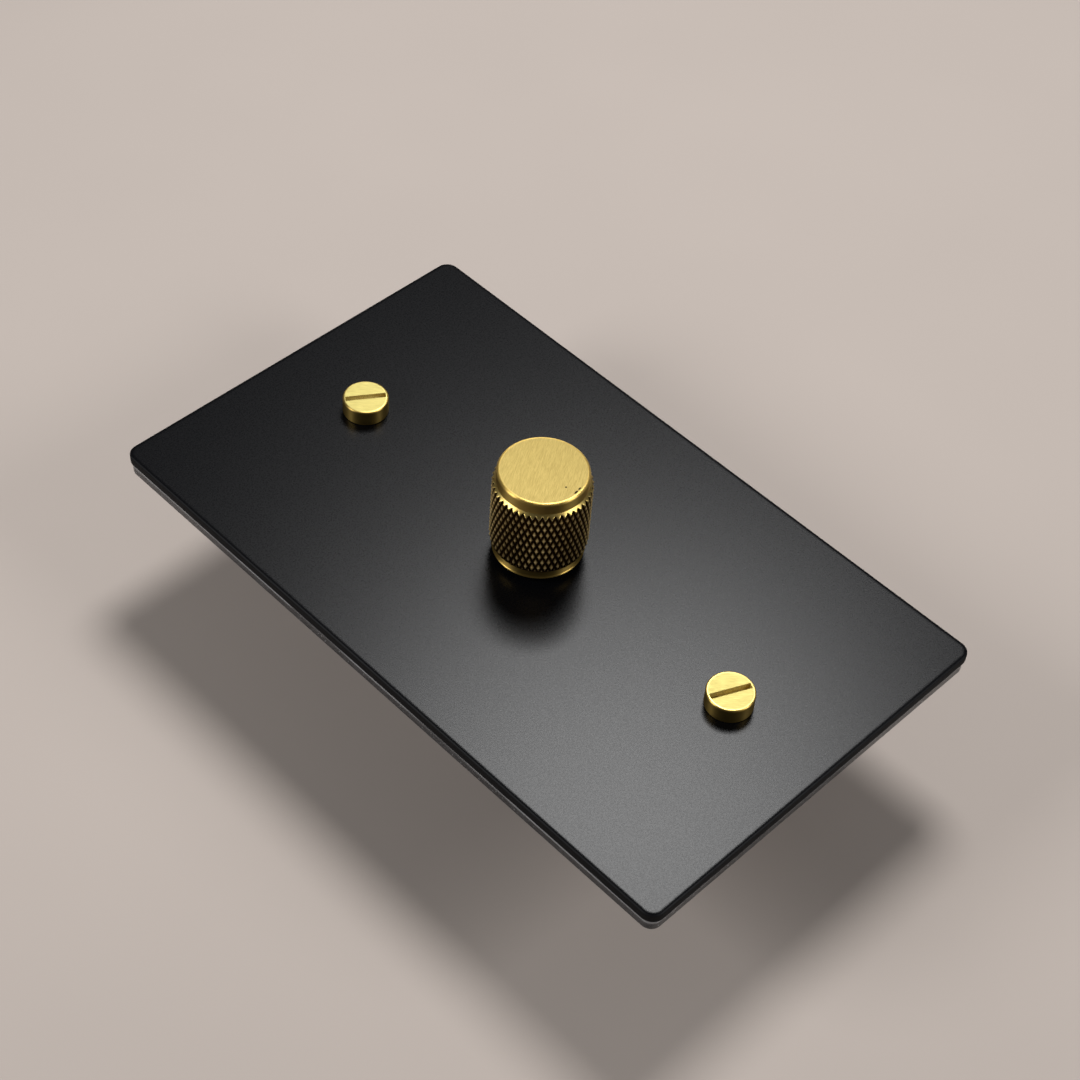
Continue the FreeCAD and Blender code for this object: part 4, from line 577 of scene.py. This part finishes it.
def wound_copper():
    """Bands that run across the coil, one for each turn of wire."""
    finish, shader = start_finish("wound_copper", WIRE_COPPER, 0.3, metallic=1.0)
    low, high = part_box("choke_winding")
    centre = (low + high) / 2
    moved = add_node(finish, "ShaderNodeVectorMath", operation="SUBTRACT",
                     links={0: object_place(finish)}, values={1: centre})
    parts = add_node(finish, "ShaderNodeSeparateXYZ", links={"Vector": moved.outputs["Vector"]})
    angle = calculate(finish, "ARCTAN2", parts.outputs["Y"], parts.outputs["X"])
    wave = calculate(finish, "COSINE", calculate(finish, "MULTIPLY", angle, WIRE_TURNS))
    round_wire = between(finish, wave, 0.0, 1.0, start=-1.0, end=1.0)
    # The dark between the turns is painted shade in the crevices between the round wires.
    wires = shades(finish, round_wire, [(0.0, WIRE_GAP_SHADE), (0.6, WIRE_BRIGHT)])
    join(finish, wires, shader.inputs["Base Color"])
    raise_surface(finish, shader, round_wire, 0.2)
    return finish


def clear_glass():
    finish, shader = start_finish("clear_glass", GLASS_CLEAR, 0.05)
    shader.inputs["Transmission Weight"].default_value = 0.85
    haze = noise(finish, object_place(finish), 0.8, detail=3.0)
    join(finish, between(finish, haze, 0.03, 0.12), shader.inputs["Roughness"])
    return finish


board_green = tell(board_mask())
coil_copper = tell(wound_copper())
tube_glass = tell(clear_glass())

# %% [markdown]
# ## Each slot's finish
#
# The record names a material slot for every piece. One table says which finish stands for each
# slot, so a piece can't be forgotten: the loop goes through all the solids and stops on a slot that
# the table lacks.

# %% Dress the solids
FINISHES = {
    "black_coat": plate_coat,
    "smoked_plastic": backing_smoke,
    "brass": screw_brass,
    "red_fibre": moulded("red_fibre", (0.32, 0.07, 0.04), 0.7, 0.3),
    "aluminium": yoke_metal,
    "steel": rolled("steel", (0.62, 0.62, 0.6), 0.3),
    "cast_zinc": rolled("cast_zinc", (0.55, 0.55, 0.55), 0.5),
    "tinned_metal": rolled("tinned_metal", (0.75, 0.75, 0.73), 0.25),
    "spring_metal": rolled("spring_metal", (0.76, 0.66, 0.42), 0.25),
    "grey_moulding": moulded("grey_moulding", (0.17, 0.17, 0.18)),
    "black_moulding": housing_black,
    "brown_moulding": moulded("brown_moulding", (0.14, 0.06, 0.03)),
    "white_moulding": moulded("white_moulding", (0.78, 0.77, 0.72), 0.4),
    "board": board_green,
    "core": core_lacquer,
    "copper": coil_copper,
    "yellow_moulding": lacquered("yellow_moulding", (0.74, 0.46, 0.05), 0.3),
    "brown_lacquer": lacquered("brown_lacquer", (0.36, 0.1, 0.03)),
    "beige_lacquer": lacquered("beige_lacquer", (0.6, 0.45, 0.28)),
    "glass": tube_glass,
    "black_epoxy": moulded("black_epoxy", (0.03, 0.03, 0.03), 0.55),
    "grey_pad": moulded("grey_pad", (0.42, 0.42, 0.44), 0.75, 0.4),
}


def dress_solids():
    slot_of = {part["node"]: part["material_slot"] for part in frame["record"]["subparts"]}
    for name, solid in nodes.items():
        solid.data.materials.clear()
        solid.data.materials.append(FINISHES[slot_of[name]])
    return slot_of


slot_of = dress_solids()
print("dressed", len(slot_of), "solids with", len(FINISHES), "finishes")

# %% [markdown]
# ## Turned pieces as grids
#
# Anything made on a lathe is a profile carried round an axis. Blender can spin a curve, but a grid
# of rings and columns lets a radius change with the angle too, which the knurl and the screw
# threads need. A ring is a function that gives a radius and a height for each column, and the
# helper joins each ring to the next.

# %% Helper: a mesh from points and faces
SHARP_DEGREES = 30.0


def make_piece(name, points, faces, finishes, finish_of_face=None, sharp_degrees=SHARP_DEGREES):
    """A mesh object at the origin, smooth but for the edges sharper than the given angle."""
    mesh = bpy.data.meshes.new(name)
    mesh.from_pydata(points, [], faces)
    for finish in finishes:
        mesh.materials.append(finish)
    if finish_of_face:
        mesh.polygons.foreach_set("material_index", finish_of_face)
    mesh.validate()
    mesh.shade_smooth()
    mesh.set_sharp_from_angle(angle=math.radians(sharp_degrees))
    return put(name, mesh)


# %% Helpers: profiles and rings
def arc(centre_radius, centre_height, size, start_degrees, end_degrees, steps):
    """Profile points on a circle; 0 degrees points outwards and 90 degrees up."""
    points = []
    for step in range(steps + 1):
        angle = math.radians(start_degrees + (end_degrees - start_degrees) * step / steps)
        points.append((centre_radius + size * math.cos(angle), centre_height + size * math.sin(angle)))
    return points


def crown(edge_radius, top, width, drop, steps):
    """Profile points of a top that rises by drop over its outermost width, more slowly inwards."""
    points = []
    for step in range(1, steps + 1):
        share = 1 - step / steps
        points.append((edge_radius - width * (1 - share), top - drop * share ** 2))
    return points


def ring_grid(rings, columns, follow_grooves=False):
    """Points and faces for rings of (radius, height) functions; a radius of 0 closes to a point.

    With follow_grooves each cell is split along its deeper diagonal, so that slanted grooves stay straight.
    """
    points = []
    rows = []
    for ring in rings:
        if ring(0)[0] == 0.0:
            rows.append([len(points)] * columns)
            points.append((0.0, 0.0, ring(0)[1]))
            continue
        row = []
        for column in range(columns):
            radius, height = ring(column)
            angle = 2 * math.pi * column / columns
            row.append(len(points))
            points.append((radius * math.cos(angle), radius * math.sin(angle), height))
        rows.append(row)
    reach = [math.hypot(x, y) for x, y, height in points]
    faces = []
    for low, high in zip(rows, rows[1:]):
        for column in range(columns):
            after = (column + 1) % columns
            a, b, c, d = low[column], low[after], high[after], high[column]
            if a == b:
                faces.append((a, c, d))
            elif c == d:
                faces.append((a, b, c))
            elif not follow_grooves:
                faces.append((a, b, c, d))
            elif reach[a] + reach[c] > reach[b] + reach[d]:
                faces += [(a, b, d), (b, c, d)]
            else:
                faces += [(a, b, c), (a, c, d)]
    return points, faces


def plain_ring(radius, height):
    return lambda column: (radius, height)


tube_points, tube_faces = ring_grid([plain_ring(1.0, 0.0), plain_ring(1.0, 1.0)], 8)
print("a tube of 2 rings and 8 columns:", len(tube_points), "points and", len(tube_faces), "faces")

# %% [markdown]
# ## The knob
#
# The knob is turned from a brass bar, knurled between two rolls, and then turned again at both ends
# of the grip: a cone under the cap and a bevel above the foot cut the knurl off in a zigzag. A
# texture could fake the pyramids, but they are almost half a millimetre deep and stand out along
# the knob's outline, so they are real geometry here. Each diamond cell of the lattice is divided
# into a few columns and rows. The height of a point is its distance from the nearest groove, cut
# off just below the tip, because a grip wears. The cap's top falls by a few thousandths of a
# millimetre just before its rounded rim, so that the highlight doesn't end in a hard line.

# %% The knurl's shape
KNURL_STARTS = 48
KNURL_ROWS = 10
CELL_STEPS = 5
TIP_CUT = 0.9
KNOB_COLUMNS = 2 * KNURL_STARTS * CELL_STEPS
FOOT_RADIUS = CREST_RADIUS - 0.5 * MM
CAP_RADIUS = CREST_RADIUS - 0.65 * MM
FOOT_TOP = knob_low.z + 1.9 * MM
CAP_ROOT = knob_high.z - 2.1 * MM
LEDGE_HEIGHT = 0.6 * MM
KNURL_TOP = CAP_ROOT - LEDGE_HEIGHT
ROW_HEIGHT = (KNURL_TOP - FOOT_TOP) / KNURL_ROWS
print("knurl columns", KNOB_COLUMNS, "row height in mm", round(ROW_HEIGHT / MM, 3))


def knurl_radius(column, height):
    """The radius of the knurled grip at one column and height, before its ends are bevelled."""
    across = (column / CELL_STEPS) % 2
    along = (1 + (min(height, KNURL_TOP) - FOOT_TOP) / ROW_HEIGHT) % 2
    across = min(across, 2 - across)
    along = min(along, 2 - along)
    from_groove = abs(1 - across - along)
    return CREST_RADIUS - KNURL_DEPTH * (1 - min(1, from_groove / TIP_CUT))


def grip_ring(height):
    """One ring of the grip: the knurl, but never outside the bevels at its two ends."""
    foot_bevel = FOOT_RADIUS + (height - FOOT_TOP)
    ledge = CAP_RADIUS + (CAP_ROOT - height) * (CREST_RADIUS - CAP_RADIUS) / LEDGE_HEIGHT

    def ring(column):
        return min(knurl_radius(column, height), foot_bevel, ledge), height
    return ring


# %% The knob's profile
SHAFT_BORE = 3.05 * MM
RECESS_RADIUS = 4.3 * MM
RECESS_TOP = 7.6 * MM
FOOT_BEVEL = 0.3 * MM
LIP_ROUND = 0.2 * MM
LIP_RISE = 1.4 * LIP_ROUND
CAP_ROUND = 0.45 * MM
CAP_FILLET = 0.15 * MM
CROWN_WIDTH = 0.06 * MM
CROWN_DROP = 0.003 * MM
RIM_ARC_END = 84
LEDGE_STEPS = 8
shaft_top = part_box("shaft")[1].z


def knob_underside():
    """From the top of the shaft's bore, down through the recess and out over the foot."""
    inside = [(0.0, shaft_top), (SHAFT_BORE, shaft_top), (SHAFT_BORE, RECESS_TOP),
              (RECESS_RADIUS, RECESS_TOP), (RECESS_RADIUS, knob_low.z)]
    lip_low = knob_low.z + FOOT_BEVEL
    neck_radius = FOOT_RADIUS - LIP_ROUND
    foot = [(FOOT_RADIUS - FOOT_BEVEL, knob_low.z)]
    foot += arc(neck_radius, lip_low, LIP_ROUND, 0, 80, 6)
    foot += [(neck_radius, lip_low + LIP_RISE), (neck_radius, FOOT_TOP)]
    return inside + foot


def knob_cap():
    """From the root of the cap, over its rounded rim, to the middle of the top."""
    edge_radius = CAP_RADIUS - CAP_ROUND
    cap = arc(CAP_RADIUS + CAP_FILLET, CAP_ROOT + CAP_FILLET, CAP_FILLET, 230, 180, 4)
    cap += arc(edge_radius, knob_high.z - CROWN_DROP - CAP_ROUND, CAP_ROUND, 0, RIM_ARC_END, 10)
    cap += crown(edge_radius, knob_high.z, CROWN_WIDTH, CROWN_DROP, 5)
    cap += [(CAP_RADIUS * share, knob_high.z) for share in (0.8, 0.4, 0.0)]
    return cap


def knob_rings():
    step = ROW_HEIGHT / CELL_STEPS
    grip = [FOOT_TOP + step / 2] + [FOOT_TOP + step * index for index in range(1, KNURL_ROWS * CELL_STEPS)]
    ledge = [KNURL_TOP + LEDGE_HEIGHT * index / LEDGE_STEPS for index in range(LEDGE_STEPS + 1)]
    rings = [plain_ring(*point) for point in knob_underside()]
    rings += [grip_ring(height) for height in grip + ledge]
    rings += [plain_ring(*point) for point in knob_cap()]
    return rings


print("knob rings", len(knob_rings()))

# %% [markdown]
# ### The hole for the grub screw
#
# A small screw in the side of the knob holds it on its shaft, so a hole goes through the grip. The
# grid of rings could be opened there by hand, but a boolean with a cylinder cuts the knurl cleanly
# and gives the hole its wall. The modifier is applied at once, and the knob stays one plain mesh.

# %% A helper that cuts one mesh with another
def apply_modifiers(piece):
    """Keeps what the modifiers show and drops the modifiers."""
    shown = piece.evaluated_get(bpy.context.evaluated_depsgraph_get())
    mesh = bpy.data.meshes.new_from_object(shown)
    piece.modifiers.clear()
    piece.data = mesh
    return piece


def cut_away(piece, cutter):
    """Takes the cutter's volume out of the piece, and deletes the cutter."""
    cut = piece.modifiers.new("cut", "BOOLEAN")
    cut.object = cutter
    cut.solver = "EXACT"
    apply_modifiers(piece)
    print(piece.name, "cut by", cutter.name, "faces", len(piece.data.polygons))
    bpy.data.objects.remove(cutter)
    return piece


# %% The knob as one closed mesh
GRUB_HOLE_GAP = 0.05 * MM
ROUNDING = 1e-7
KNOB_SPECK = ((0.06, -4.8, knob_high.z / MM), (0.17, 0.17, 5.0), 0.0)
KNOB_NICKS = [((0.50, -6.58, knob_high.z / MM), (0.45, 0.17, 5.0), 6.0),
              ((1.42, -6.42, knob_high.z / MM), (0.36, 0.16, 5.0), 14.0)]
grub_low, grub_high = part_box("knob_grub_screw")


def grub_cutter():
    """A cylinder from the bore out through the grip, where the grub screw sits."""
    radius = (grub_high.x - grub_low.x) / 2 + GRUB_HOLE_GAP
    profile = [(0.0, 0.0), (radius, 0.0), (radius, 2 * CREST_RADIUS), (0.0, 2 * CREST_RADIUS)]
    points, faces = ring_grid([plain_ring(*point) for point in profile], 48)
    cutter = make_piece("grub_cutter", points, faces, [])
    height = Matrix.Translation((0, 0, (grub_low.z + grub_high.z) / 2))
    cutter.data.transform(height @ Matrix.Rotation(-math.pi / 2, 4, "X"))
    return cutter


def make_knob():
    points, faces = ring_grid(knob_rings(), KNOB_COLUMNS, follow_grooves=True)
    grip_faces = []
    for face in faces:
        heights = [points[corner][2] for corner in face]
        is_grip = min(heights) > FOOT_TOP - ROUNDING and max(heights) < CAP_ROOT + ROUNDING
        grip_faces.append(1 if is_grip else 0)
    plain = tell(brass("knob_brass", (BRASS_DEEP, BRASS_PALE), KNOB_BRUSHING, KNOB_GLOSS,
                       KNOB_ANISOTROPY, KNOB_PATINA_SHADE_TILT, [KNOB_SPECK, *KNOB_NICKS]))
    knob = make_piece("knurled_knob", points, faces, [plain, grip_brass], grip_faces)
    cut_away(knob, grub_cutter())
    knob.data.set_sharp_from_angle(angle=math.radians(SHARP_DEGREES))
    return knob


knob = make_knob()
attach(knob, "shaft")
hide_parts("knob")
print("knob faces", len(knob.data.polygons))

# %% [markdown]
# ## The face plate
#
# Powder coat creeps back a little from a sharp edge and then rolls over it. In that last millimetre
# the sheen of the top fades and turns black. A plain fillet is too tight to show it, so the plate
# is rebuilt from loops: each loop is the plate's rounded outline, a bit further in and a bit
# higher, on a curve that starts steep at the edge and ends level.

# %% Helpers: outlines of flat pieces
def rounded_outline(half_width, half_length, corner_radius, height, corner_steps=14):
    """A closed loop of points round a rectangle with round corners."""
    points = []
    for quarter, (side_x, side_y) in enumerate([(1, 1), (-1, 1), (-1, -1), (1, -1)]):
        centre_x = side_x * (half_width - corner_radius)
        centre_y = side_y * (half_length - corner_radius)
        for step in range(corner_steps + 1):
            angle = math.pi / 2 * (quarter + step / corner_steps)
            points.append(Vector((centre_x + corner_radius * math.cos(angle),
                                  centre_y + corner_radius * math.sin(angle), height)))
    return points


def round_outline(radius, height, centre_y=0.0, steps=48):
    angles = [2 * math.pi * step / steps for step in range(steps)]
    return [Vector((radius * math.cos(angle), centre_y + radius * math.sin(angle), height))
            for angle in angles]


trial_outline = rounded_outline(2.0, 3.0, 0.5, 0.0)
trial_hole = round_outline(1.0, 0.0)
print("points of an outline", len(trial_outline), "and of a hole", len(trial_hole))

# %% Helpers: walls and lids between outlines
def wall_faces(starts, count):
    """Quads between loops of the same number of points, given where each loop's points start."""
    faces = []
    for low, high in zip(starts, starts[1:]):
        for step in range(count):
            after = (step + 1) % count
            faces.append((low + step, low + after, high + after, high + step))
    return faces


def lid_faces(loops, starts, upwards):
    """Triangles over an outline with holes."""
    index_of = [start + step for loop, start in zip(loops, starts) for step in range(len(loop))]
    faces = []
    for triangle in mathutils.geometry.tessellate_polygon(loops):
        a, b, c = (index_of[corner] for corner in triangle)
        faces.append((a, b, c))
    flat = [point for loop in loops for point in loop]
    position = dict(zip(index_of, flat))
    turned = []
    for a, b, c in faces:
        normal = (position[b] - position[a]).cross(position[c] - position[a])
        turned.append((a, b, c) if (normal.z > 0) == upwards else (a, c, b))
    return turned


trial_lid = lid_faces([trial_outline, trial_hole], [0, len(trial_outline)], True)
print("triangles of a lid with one hole", len(trial_lid))

# %% The face plate as one closed mesh
plate_low, plate_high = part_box("face_plate")
screws_low, screws_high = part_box("face_plate_screws")
SCREW_HEAD_RADIUS = screws_high.x
SCREW_Y = screws_high.y - SCREW_HEAD_RADIUS
PLATE_CORNER = 2.2 * MM
FOOT_CHAMFER = 0.12 * MM
ROLL_WIDTH = 1.0 * MM
ROLL_DROP = 0.25 * MM
ROLL_START = 0.05 * MM
ROLL_SHARES = (0.02, 0.06, 0.12, 0.2, 0.3, 0.4, 0.5, 0.6, 0.7, 0.85, 1.0)
SHAFT_HOLE_RADIUS = 6.0 * MM
SCREW_HOLE_RADIUS = 1.9 * MM


def plate_outlines():
    """The plate's outline from its rear edge up to where its top is level, further in each time."""
    profile = [(FOOT_CHAMFER, plate_low.z), (0.0, plate_low.z + FOOT_CHAMFER),
               (0.0, plate_high.z - ROLL_DROP - ROLL_START)]
    profile += [(ROLL_WIDTH * share, plate_high.z - ROLL_DROP * (1 - share) ** 4) for share in ROLL_SHARES]
    return [rounded_outline(plate_high.x - inset, plate_high.y - inset, PLATE_CORNER - inset, height)
            for inset, height in profile]


def make_face_plate():
    outlines = plate_outlines()
    holes = [(SHAFT_HOLE_RADIUS, 0.0), (SCREW_HOLE_RADIUS, SCREW_Y), (SCREW_HOLE_RADIUS, -SCREW_Y)]
    tops = [round_outline(radius, plate_high.z, y) for radius, y in holes]
    bottoms = [round_outline(radius, plate_low.z, y) for radius, y in holes]
    loops = outlines + tops + bottoms
    starts = [sum(len(earlier) for earlier in loops[:index]) for index in range(len(loops))]
    rim_starts = starts[:len(outlines)]
    top_starts = starts[len(outlines):len(outlines) + 3]
    bottom_starts = starts[len(outlines) + 3:]
    faces = wall_faces(rim_starts, len(outlines[0]))
    faces += lid_faces([outlines[-1]] + tops, [rim_starts[-1]] + top_starts, True)
    faces += lid_faces([outlines[0]] + bottoms, [rim_starts[0]] + bottom_starts, False)
    for top, bottom, loop in zip(top_starts, bottom_starts, tops):
        faces += wall_faces([top, bottom], len(loop))
    points = [tuple(point) for loop in loops for point in loop]
    return make_piece("coated_face_plate", points, faces, [FINISHES["black_coat"]])


face_plate = make_face_plate()
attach(face_plate, "root")
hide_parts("face_plate")
print("plate faces", len(face_plate.data.polygons), "screw pitch", round(2 * SCREW_Y / MM, 2))

# %% [markdown]
# ## The two slotted screws
#
# Each screw is turned from brass bar: a cheese head with a softened rim, a slot that stops short of
# the rim, and a long M3.5 thread behind the plate. The head is a lathe grid with the slot cut out by
# a boolean, and a narrow bevel then breaks the slot's edges, because a real edge always shows a thin
# line of light. The slot's walls are dull and rough from the cutter, so they have a finish of their
# own.

# %% The slot's finish
SLOT_OLIVE = (0.86, 0.72, 0.22)
SLOT_BROWN = (0.36, 0.22, 0.03)
SLOT_GLOSS = 0.6
SLOT_METALNESS = 0.25


def milled_brass():
    """The slot's walls, left rough and dull along their length by the cutter."""
    finish, shader = start_finish("milled_brass", SLOT_OLIVE, SLOT_GLOSS, metallic=SLOT_METALNESS)
    lines = noise(finish, stretched_place(finish, (0.05, 1.0, 1.0)), 0.1, detail=3.0)
    join(finish, shades(finish, lines, [(0.3, SLOT_BROWN), (0.7, SLOT_OLIVE)]), shader.inputs["Base Color"])
    raise_surface(finish, shader, lines, 0.005, strength=0.5)
    return finish


milled = tell(milled_brass())

# %% The screw head
HEAD_LOW = plate_high.z
HEAD_HIGH = screws_high.z
HEAD_ROUND = 0.3 * MM
HEAD_CHAMFER = 0.15 * MM
HEAD_CROWN_WIDTH = 0.25 * MM
HEAD_CROWN_DROP = 0.010 * MM
HEAD_LEVEL_STEP = 0.03 * MM
HEAD_COLUMNS = 96
SLOT_WIDTH = 1.0 * MM
SLOT_DEPTH = 1.2 * MM
SLOT_LENGTH = 2 * (SCREW_HEAD_RADIUS - 0.45 * MM)


def head_profile():
    """From the middle of the underside, over the rim, to the middle of the top."""
    edge_radius = SCREW_HEAD_RADIUS - HEAD_ROUND
    profile = [(0.0, HEAD_LOW), (SCREW_HEAD_RADIUS - HEAD_CHAMFER, HEAD_LOW),
               (SCREW_HEAD_RADIUS, HEAD_LOW + HEAD_CHAMFER)]
    profile += arc(edge_radius, HEAD_HIGH - HEAD_CROWN_DROP - HEAD_ROUND, HEAD_ROUND, 0, RIM_ARC_END, 8)
    profile += crown(edge_radius, HEAD_HIGH, HEAD_CROWN_WIDTH, HEAD_CROWN_DROP, 4)
    profile += [(edge_radius - HEAD_CROWN_WIDTH - HEAD_LEVEL_STEP, HEAD_HIGH), (0.0, HEAD_HIGH)]
    return profile


def slot_cutter():
    """A bar along X as long and wide as the slot, half of it in the head."""
    mesh = bpy.data.meshes.new("slot_cutter")
    shape = bmesh.new()
    bmesh.ops.create_cube(shape, size=1.0)
    bmesh.ops.scale(shape, vec=(SLOT_LENGTH, SLOT_WIDTH, 2 * SLOT_DEPTH), verts=shape.verts)
    bmesh.ops.translate(shape, vec=(0, 0, HEAD_HIGH), verts=shape.verts)
    shape.to_mesh(mesh)
    shape.free()
    return put("slot_cutter", mesh)


print("slot in mm", round(SLOT_LENGTH / MM, 2), "by", round(SLOT_WIDTH / MM, 2))

# %% The head's edges and its slot
EDGE_BREAK = 0.05 * MM
EDGE_LIMIT_DEGREES = 50.0
HEAD_SHARP_DEGREES = 20.0


def break_edges(head):
    """A narrow bevel on every edge that turns by more than the limit."""
    bevel = head.modifiers.new("edge", "BEVEL")
    bevel.width = EDGE_BREAK
    bevel.segments = 2
    bevel.limit_method = "ANGLE"
    bevel.angle_limit = math.radians(EDGE_LIMIT_DEGREES)
    apply_modifiers(head)
    head.data.set_sharp_from_angle(angle=math.radians(HEAD_SHARP_DEGREES))


def dull_slot(head):
    """Puts the head's second finish on the slot's walls and floor, and counts those faces."""
    for face in head.data.polygons:
        along, across, height = face.center
        within = abs(along) < SLOT_LENGTH / 2 + EDGE_BREAK and abs(across) < SLOT_WIDTH / 2 + EDGE_BREAK
        below = HEAD_LOW + EDGE_BREAK < height < HEAD_HIGH - EDGE_BREAK / 2
        face.material_index = 1 if within and below else 0
    return sum(face.material_index for face in head.data.polygons)


def make_head(name):
    """A slotted head about the origin's Z axis, with the slot along X."""
    points, faces = ring_grid([plain_ring(*point) for point in head_profile()], HEAD_COLUMNS)
    head = make_piece(name, points, faces, [FINISHES["brass"], milled])
    cut_away(head, slot_cutter())
    break_edges(head)
    slot_faces = dull_slot(head)
    print(name, "faces in the slot", slot_faces)
    return head


# %% [markdown]
# ### The thread
#
# Most of each screw is a long thread behind the plate. Blender's screw modifier can wind a profile,
# but the grid of rings does it too and stays one closed mesh: the radius of a point depends on its
# height and its angle together, and the ridge rises by one pitch for each turn. Near the head it
# runs out into a plain neck.

# %% The screw thread
THREAD_RADIUS = 1.75 * MM
THREAD_PITCH = 0.6 * MM
THREAD_DEPTH = 0.33 * MM
THREAD_TOP = -0.1 * MM
NECK_RADIUS = 1.5 * MM
THREAD_COLUMNS = 24
STEPS_PER_TURN = 6
THREAD_SHARP_DEGREES = 60.0
POINT_LENGTH = 0.5 * MM


def make_shank(name, low, high):
    """A right-hand thread that runs out into a plain neck under the head."""
    steps = round((THREAD_TOP - low) / THREAD_PITCH * STEPS_PER_TURN)

    def ring(height):
        run_out = min(1.0, (THREAD_TOP - height) / (THREAD_PITCH / 2))
        point = THREAD_RADIUS - POINT_LENGTH + height - low

        def place(column):
            turn = (height - low) / THREAD_PITCH - column / THREAD_COLUMNS
            ridge = abs(2 * (turn % 1) - 1)
            thread = THREAD_RADIUS - THREAD_DEPTH * ridge
            return min(NECK_RADIUS + (thread - NECK_RADIUS) * run_out, point), height
        return place

    heights = [low + (THREAD_TOP - low) * step / steps for step in range(steps + 1)]
    rings = [plain_ring(0.0, low)] + [ring(height) for height in heights]
    rings += [plain_ring(NECK_RADIUS, high), plain_ring(0.0, high)]
    points, faces = ring_grid(rings, THREAD_COLUMNS)
    return make_piece(name, points, faces, [FINISHES["brass"]], sharp_degrees=THREAD_SHARP_DEGREES)


print("thread turns", round((THREAD_TOP - screws_low.z) / THREAD_PITCH, 1))

# %% Both screws in place
SLOT_ANGLES = {"upper_screw": -33.0, "lower_screw": -24.0}


def join_pieces(name, pieces):
    """One object from several, each moved to where its own matrix puts it."""
    shape = bmesh.new()
    for piece in pieces:
        part = piece.data.copy()
        part.transform(piece.matrix_basis)
        shape.from_mesh(part)
    mesh = bpy.data.meshes.new(name)
    shape.to_mesh(mesh)
    shape.free()
    for finish in pieces[0].data.materials:
        mesh.materials.append(finish)
    for piece in pieces:
        bpy.data.objects.remove(piece)
    return put(name, mesh)


def make_screw(name, y, slot_angle):
    place = Matrix.Translation((0, y, 0)) @ Matrix.Rotation(math.radians(slot_angle), 4, "Z")
    head = make_head(name + "_head")
    head.matrix_basis = place
    shank = make_shank(name + "_shank", screws_low.z, HEAD_LOW)
    shank.matrix_basis = place
    return join_pieces(name, [head, shank])


for (name, angle), y in zip(SLOT_ANGLES.items(), (SCREW_Y, -SCREW_Y)):
    screw = make_screw(name, y, angle)
    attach(screw, "root")
    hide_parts("face_plate_screws")
    print(name, "faces", len(screw.data.polygons))

# %% [markdown]
# ## The floor, the lamps and the sky
#
# The dimmer lies on its housing, so the floor is as low as the lowest solid. One large soft lamp
# stands high on the far right: it throws the plate's shadow towards the camera, and its mirror image
# in the satin coat falls on the near corner. Two weaker lamps stand lower, left and right of the
# camera, and light what faces sideways: the cone under the cap, the knurl's tips, the slots and the
# sides of the screws. A weak pale sky keeps the rest readable.

# %% Floor
FLOOR_COLOUR = (0.45, 0.392, 0.354)
FLOOR_SIZE = 6.0


def make_floor():
    half = FLOOR_SIZE / 2
    height = solid_low.z
    mesh = bpy.data.meshes.new("floor")
    mesh.from_pydata([(-half, -half, height), (half, -half, height), (half, half, height),
                      (-half, half, height)], [], [(0, 1, 2, 3)])
    finish, shader = start_finish("floor", FLOOR_COLOUR, 0.9)
    soft = noise(finish, object_place(finish), 60.0)
    clouds = shades(finish, soft, [(0.3, FLOOR_COLOUR), (0.7, scaled(FLOOR_COLOUR, 1.03))])
    join(finish, clouds, shader.inputs["Base Color"])
    mesh.materials.append(finish)
    floor = put("floor", mesh)
    return floor


print("floor height in mm", round(make_floor().data.vertices[0].co.z / MM, 2))

# %% Lamps and sky
KEY_PLACE = Vector((0.276, 0.188, 0.600))
KEY_SIZE = 0.24
KEY_POWER = 3.9
LEFT_PLACE = Vector((-0.45, 0.26, 0.36))
RIGHT_PLACE = Vector((0.22, -0.47, 0.36))
SIDE_SIZE = 0.25
LEFT_POWER = 1.8
RIGHT_POWER = 1.3
SKY_COLOUR = (0.94, 0.96, 1.0)
SKY_STRENGTH = 0.07


def make_lamp(name, place, size, power):
    lamp = put(name, bpy.data.lights.new(name, "AREA"))
    lamp.data.shape = "DISK"
    lamp.data.size = size
    lamp.data.energy = power
    lamp.location = place
    lamp.rotation_mode = "QUATERNION"
    lamp.rotation_quaternion = (-place).to_track_quat("-Z", "Y")


def make_sky():
    world = bpy.data.worlds.new("sky")
    world.use_nodes = True
    background = world.node_tree.nodes["Background"]
    background.inputs["Color"].default_value = (*SKY_COLOUR, 1.0)
    background.inputs["Strength"].default_value = SKY_STRENGTH
    bpy.context.scene.world = world


make_lamp("key_lamp", KEY_PLACE, KEY_SIZE, KEY_POWER)
make_lamp("left_lamp", LEFT_PLACE, SIDE_SIZE, LEFT_POWER)
make_lamp("right_lamp", RIGHT_PLACE, SIDE_SIZE, RIGHT_POWER)
make_sky()
bpy.context.scene.view_settings.view_transform = "Standard"
print("lamps", [lamp.name for lamp in bpy.data.lights])
